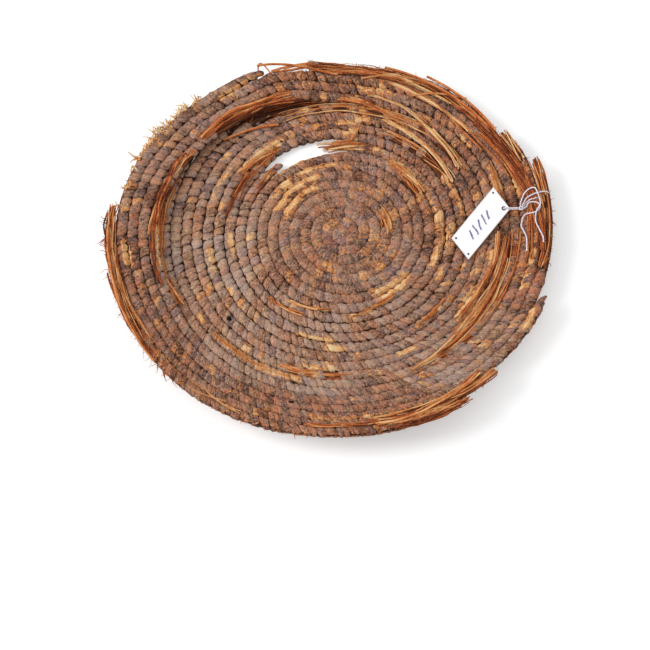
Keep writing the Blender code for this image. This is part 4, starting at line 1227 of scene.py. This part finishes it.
def add_rim_fibres():
    """Frayed tufts, hairs and stubs round the rim, and fine hairs on the rows."""
    fibres = Stems(303)
    rng = fibres.rng

    def outward(bearing):
        return Vector((math.cos(math.radians(bearing)), math.sin(math.radians(bearing)), 0.0))

    def onward(bearing):
        return Vector((-math.sin(math.radians(bearing)), math.cos(math.radians(bearing)), 0.0))

    for _ in range(64):
        bearing = rng.gauss(149.0, 8.0)
        lane, lift = edge_at(bearing)
        root = over(lane + rng.uniform(0.3, 0.45), lift, bearing, 0.0, rng.uniform(-0.8, 1.5) * MM)
        heading = outward(bearing) * rng.uniform(0.6, 1.0) + onward(bearing) * rng.uniform(-0.7, 0.7)
        fibres.tuft(root, heading, rng.randint(2, 5), rng.uniform(2.8, 6.0), rng.uniform(0.24, 0.46),
                    (0.7, 1.35), 2.4, 0.45)
    for low, high, count, length, tones in RIM_HAIRS:
        for _ in range(count):
            bearing = rng.uniform(low, high)
            lane, lift = edge_at(bearing % TURN)
            heading = outward(bearing) * rng.uniform(0.0, 0.35) + onward(bearing) * rng.choice((-1.0, 1.0))
            root = over(lane + rng.uniform(0.1, 0.42), lift, bearing, 0.0, rng.uniform(-0.8, 1.7) * MM)
            fibres.tuft(root, heading, rng.choice((1, 2, 2, 4)), length, rng.uniform(0.1, 0.22), tones,
                        1.1, 0.3)
    for _ in range(FLAT_HAIRS):
        bearing, lane = rng.uniform(0, TURN), rng.uniform(*FLAT_HAIR_LANES)
        beside_hole = 88 < bearing < 150 and lane < 11
        if lane > edge_at(bearing)[0] or beside_hole:
            continue
        lift = band_lift(bearing + TURN) if lane > BAND_FROM_LANE else 0.0
        root = over(lane, lift, bearing, 0.0, ROW_HEIGHT / 2 - 0.2 * MM)
        heading = onward(bearing) * rng.choice((-1.0, 1.0)) + outward(bearing) * rng.uniform(-0.5, 0.5)
        fibres.tuft(root, heading + Vector((0, 0, 0.25)), rng.choice((1, 2)), 2.0, 0.13, (0.3, 1.0),
                    0.35, 0.2)
    for bearing in RIM_STUBS:
        lane, lift = edge_at(bearing)
        root = over(lane - 0.1, lift, bearing, 0.0, 0.6 * MM)
        fibres.tuft(root, outward(bearing) + onward(bearing) * 0.6, 12, 3.2, 0.26, (0.1, 0.8), 0.3, 0.35)
    return fibres.piece("rim_fibres", sides=4, flat=0.7)


# loose stems and the strip across the gap, which stand for the solids of their names: track, bearings
# from and to, then in lanes how far aside each end lies, and its rise at the far end in mm
LOOSE_ROUTES = {
    "stem_in_gap": (outer_lane(3), 172.0, 207.0, 0.4, 0.4, 0.0),
    "straw_top": (outer_lane(2), 452.0, 476.0, 0.2, 1.3, 3.0),
    "straw_right": (outer_lane(3), 398.0, 437.0, 0.1, 0.3, 2.0),
    "straw_far_right": (outer_lane(3), 396.0, 424.0, 0.45, 0.7, 1.0),
    "straw_left": (outer_lane(4), 541.0, 580.0, 0.3, 0.9, 0.0),
    "strip_across_gap": (inner_lane, 12 * TURN + 118, 12 * TURN + 139, 0.3, 2.3, 0.0),
}
STEM_SEAT = 0.45 * MM          # a loose stem's middle above the rows that it lies on


def add_loose_stems():
    """Loose stems, each split in three, and straws, each split in two."""
    loose = Stems(77)
    steps = 20
    for track, start, end, side_from, side_to, rise in LOOSE_ROUTES.values():
        for shift, radius, tone in ((0.0, 0.5, 0.55), (0.35, 0.28, 0.8), (-0.4, 0.32, 0.3)):
            points = []
            for k in range(steps + 1):
                share = k / steps
                side = (side_from + (side_to - side_from) * share) * ROW_PITCH + shift * MM
                points.append(spot(track, start + (end - start) * share, side,
                                   ROW_HEIGHT / 2 + STEM_SEAT + rise * MM * share ** 2))
            loose.add(points, radius * MM, tone)
    for places, radius, tone in STRAWS:
        path = on_rows(places)
        for shift, thin in ((0.0, 1.0), (0.45, 0.6)):
            loose.add([path(k / 14, shift * MM, STEM_SEAT) for k in range(15)], radius * thin * MM,
                      tone + shift * 0.4)
    loose.piece("loose_stems", list(LOOSE_ROUTES))


def over_rows(x, y, level):
    """A point x, y of the floor plan, so many thread widths above the rows there."""
    bearing = math.degrees(math.atan2(y, x)) % TURN
    reach = math.hypot(x, y)
    from_middle = bearing % RING_STEP - RING_STEP / 2
    reach *= math.cos(math.radians(from_middle)) / math.cos(math.radians(RING_STEP / 2))
    lane = reach / ROW_PITCH
    for _ in range(8):      # each time nearer to the lane at this reach
        lane += (reach - surface(lane, bearing)[0]) / ROW_PITCH
    top = surface(lane, bearing)[1] + ROW_HEIGHT / 2
    height = top + SEAT_GAP + THREAD_RADIUS + level * (2 * THREAD_RADIUS + SEAT_GAP)
    return COIL + Vector((x, y, height))


def smooth_route(points, spacing):
    """Points at about this spacing on a smooth curve through the route's own points."""
    ends = [2 * points[0] - points[1], *points, 2 * points[-1] - points[-2]]
    result = []
    for a, b, c, d in zip(ends, ends[1:], ends[2:], ends[3:]):
        count = max(2, round((c - b).length / spacing))
        result += [curve_through(a, b, c, d, k / count) for k in range(count)]
    return [*result, points[-1]]


def from_knot(azimuth, rise):
    """Where a thread leaves the knot, by two angles in degrees."""
    azimuth, rise = math.radians(azimuth), math.radians(rise)
    return HINGE + (KNOT_RADIUS + SEAT_GAP) * Vector((
        math.cos(rise) * math.cos(azimuth), math.cos(rise) * math.sin(azimuth), math.sin(rise)))


# where each thread leaves the knot: azimuth and rise in degrees
RING_TAIL_LEAVES, ARC_TAIL_LEAVES = (0, 10), (100, 5)
LOOP_LEAVES, LOOP_RETURNS = (38, -5), (62, 30)
# the threads' routes: x and y of the floor plan in mm, and thread levels above the rows
LOOP_OUT = ((75.5, 11.9, 0), (77.6, 13.2, 0))
LOOP_BACK = ((78.4, 15.3, 0), (75.7, 13.9, 0.2))
# the turn round the bare bundle: side and height from its middle in mm, and bearing
LOOP_TURN = ((-4.6, 2.53, 9.6), (-3.3, 2.5, 9.7), (-2.3, 1.3, 9.8), (-1.92, 0.0, 9.9),
             (-1.7, -1.3, 10.0), (0.0, -2.15, 10.2), (1.7, -1.3, 10.4), (2.05, 0.0, 10.6),
             (1.8, 1.3, 10.8), (0.4, 2.4, 11.0), (-1.6, 2.7, 11.1), (-3.6, 2.55, 11.2))
RING_TAIL = ((75.6, 9.9, 0.6), (76.1, 11.2, 0.3), (77.7, 11.8, 0), (80.0, 11.1, 0), (81.1, 9.3, 0),
             (80.0, 7.4, 0), (77.7, 6.8, 0), (75.6, 6.6, 0), (74.2, 5.6, 0), (73.5, 3.4, 0),
             (73.2, 1.2, 0), (74.4, -1.8, 0), (75.3, -5.0, 0), (75.3, -10.9, 0))
ARC_TAIL = ((73.2, 12.3, 0.2), (74.6, 16.0, 0), (76.8, 17.9, 0.3), (79.0, 17.6, 1),
            (80.5, 13.6, 1), (81.1, 9.9, 1), (79.6, 7.4, 1), (79.1, 5.0, 0.6), (79.2, 2.5, 0),
            (80.6, -1.5, 0), (82.0, -5.1, 0), (82.1, -7.7, 0))


def twisted(name, route, body, node):
    """Plies of cotton twisted along a route, each of them closed."""
    fine = smooth_route(route, PLY_STEP)
    plies = Stems(1)
    for number in range(PLIES):
        forward = (fine[1] - fine[0]).normalized()
        side = forward.orthogonal().normalized()
        gone = 0.0
        points = []
        for k, point in enumerate(fine):
            ahead = (fine[min(k + 1, len(fine) - 1)] - fine[max(k - 1, 0)]).normalized()
            side = (side - ahead * side.dot(ahead)).normalized()
            turn = 2 * math.pi * (number / PLIES + gone / PLY_PITCH)
            points.append(point + PLY_OFFSET * (side * math.cos(turn) + ahead.cross(side) * math.sin(turn)))
            if k + 1 < len(fine):
                gone += (fine[k + 1] - point).length
        plies.add(points, PLY_RADIUS, 0.5, 0.0, 0.0)
    return plies.piece(name, [node], sides=6, flat=1.0, finish=COTTON, body=body, slot="cotton_thread")


def over_each(places):
    """The points above the rows for places of a route."""
    return [over_rows(x * MM, y * MM, level) for x, y, level in places]


def add_tails():
    """The two free ends of the thread, as cords."""
    for name, leaves, places in (("ring_tail", RING_TAIL_LEAVES, RING_TAIL),
                                 ("arc_tail", ARC_TAIL_LEAVES, ARC_TAIL)):
        path = smooth_route([from_knot(*leaves), *over_each(places)], THREAD_SPACING)
        tail = twisted(name, path, "tray", "thread_" + name)
        tuple(path[0])
        length_of(path)
        [tuple(point) for point in path]


def add_rim_loop():
    """The loop from the knot round the bare bundle of the rim and back."""
    rim = outer_lane(1)
    turn = [spot(rim, 2 * TURN + bearing, side * MM, up * MM) for side, up, bearing in LOOP_TURN]
    route = [from_knot(*LOOP_LEAVES), *over_each(LOOP_OUT), *turn, *over_each(LOOP_BACK),
             from_knot(*LOOP_RETURNS)]
    twisted("rim_loop", smooth_route(route, THREAD_SPACING), "tray", "thread_rim_loop")


def add_tie():
    """The tie from the knot through the card's hole and back."""
    along, across, face = tag_frame()
    x, y = TAG_LENGTH / 2 - TIE_HOLE_INSET, TIE_HOLE_INSET - TAG_WIDTH / 2
    hole = TAG_CENTRE + along * (x + y * math.tan(math.radians(TAG_SKEW_DEG))) + across * y
    toward = (HINGE - hole).normalized()
    in_card = (toward - face * toward.dot(face)).normalized()
    splay = math.radians(TIE_SPLAY_DEG)
    reach = KNOT_RADIUS + SEAT_GAP
    off = TAG_THICKNESS / 2 + THREAD_RADIUS + TIE_CLEARANCE
    route = [HINGE + reach * (face * math.sin(splay) - toward * math.cos(splay)),
             hole + in_card * TIE_HOLE_INSET + face * off, hole + in_card * TIE_HOLE_RADIUS + face * off,
             hole + face * off / 2, hole - face * off / 2,
             hole + in_card * TIE_HOLE_RADIUS - face * off, hole + in_card * TIE_HOLE_INSET - face * off,
             HINGE + reach * (-face * math.sin(splay) - toward * math.cos(splay))]
    twisted("tag_tie", smooth_route(route, THREAD_SPACING), "tag", "thread_tie")


def add_knot():
    """Thread wound on the knot, each turn leaning further over."""
    steps = 16
    wound = []
    for k in range(steps * KNOT_TURNS + 1):
        turn, lean = 2 * math.pi * k / steps, 2 * math.pi * k / (steps * KNOT_TURNS)
        ring = Vector((math.cos(turn), math.sin(turn) * math.cos(lean), math.sin(turn) * math.sin(lean)))
        wound.append(HINGE + ring * (KNOT_RADIUS - THREAD_RADIUS))
    twisted("thread_wound_knot", wound, "tray", "thread_knot")


# camera: the photograph's angle, from far off with a long lens; its sensor is in mm
TARGET = COIL + Vector((-7.395 * MM, -40.882 * MM, 0.0))
CAMERA_PITCH_DEG = 62.7
CAMERA_FAR = 2.45
PICTURE_PIXELS, FOCAL_PIXELS = 650, 6000
SENSOR = 36.0

# lamp and room
KEY_PLACE, KEY_SIZE, KEY_WATTS = (-1.60, -0.05, 1.10), 1.2, 27.5
ROOM_STRENGTH = 0.74
BLACK, WHITE = (0.0, 0.0, 0.0, 1.0), (1.0, 1.0, 1.0, 1.0)
FLOOR_GREY, FLOOR_GLOW, FLOOR_HALF = (0.8, 0.8, 0.8, 1.0), 0.34, 3.0


def add_camera():
    """The photograph's view of the tray."""
    data = bpy.data.cameras.new("camera")
    data.sensor_width = SENSOR
    data.lens = SENSOR * FOCAL_PIXELS / PICTURE_PIXELS
    data.clip_end = 20.0
    thing = link("camera", data)
    pitch = math.radians(CAMERA_PITCH_DEG)
    thing.location = TARGET + CAMERA_FAR * Vector((0.0, -math.cos(pitch), math.sin(pitch)))
    thing.rotation_euler = (math.pi / 2 - pitch, 0.0, 0.0)
    bpy.context.scene.camera = thing


def add_light():
    """One large soft lamp at the left, turned to the middle of the tray."""
    data = bpy.data.lights.new("key", "AREA")
    data.shape = "DISK"
    data.size = KEY_SIZE
    data.energy = KEY_WATTS
    thing = link("key", data)
    thing.location = KEY_PLACE
    thing.rotation_euler = (-Vector(KEY_PLACE)).to_track_quat("-Z", "Y").to_euler()


def add_floor():
    """A pale floor, which the camera sees a little brighter than the light makes it."""
    made, sheet, shader = new_material("floor", WHITE)
    ray = sheet.node("ShaderNodeLightPath", out="Is Camera Ray")
    seen = ray.most(ray.of("Is Glossy Ray")).most(ray.of("Is Transmission Ray"))
    wire(shader, Base_Color=FLOOR_GREY, Roughness=1.0, Specular_IOR_Level=0.0,
         Emission_Color=sheet.blend(seen, BLACK, WHITE), Emission_Strength=FLOOR_GLOW)
    mesh = bmesh.new()
    bmesh.ops.create_grid(mesh, x_segments=1, y_segments=1, size=FLOOR_HALF)
    data = mesh_from("floor", mesh)
    data.materials.append(made)
    link("floor", data)


def set_view():
    """Plain colours and an even white room."""
    scene = bpy.context.scene
    scene.view_settings.view_transform = "Standard"
    world = bpy.data.worlds.new("room")
    world.use_nodes = True
    background = world.node_tree.nodes["Background"]
    background.inputs["Color"].default_value = WHITE
    background.inputs["Strength"].default_value = ROOM_STRENGTH
    scene.world = world


add_camera()
FIBRE_TREE = make_fibre_tree()
add_tails()
add_rim_loop()
add_tie()
add_knot()
for node in nodes_called("tag_"):
    frame["nodes"][node].data.materials[0] = PAPER
STITCH = make_stitch()
STITCH_POINTS = np.array([tuple(vertex.co) for vertex in STITCH.data.vertices])
STITCH_CREASE = np.array([entry.value for entry in STITCH.data.attributes["crease_shade_mask"].data])
STITCH_TREE = make_stitch_tree()
dress_coil()
bpy.data.objects.remove(STITCH)
lay_strips()
fray_hole()
fill_torn_gap()
add_rim_fibres()
add_loose_stems()
add_light()
add_floor()
set_view()
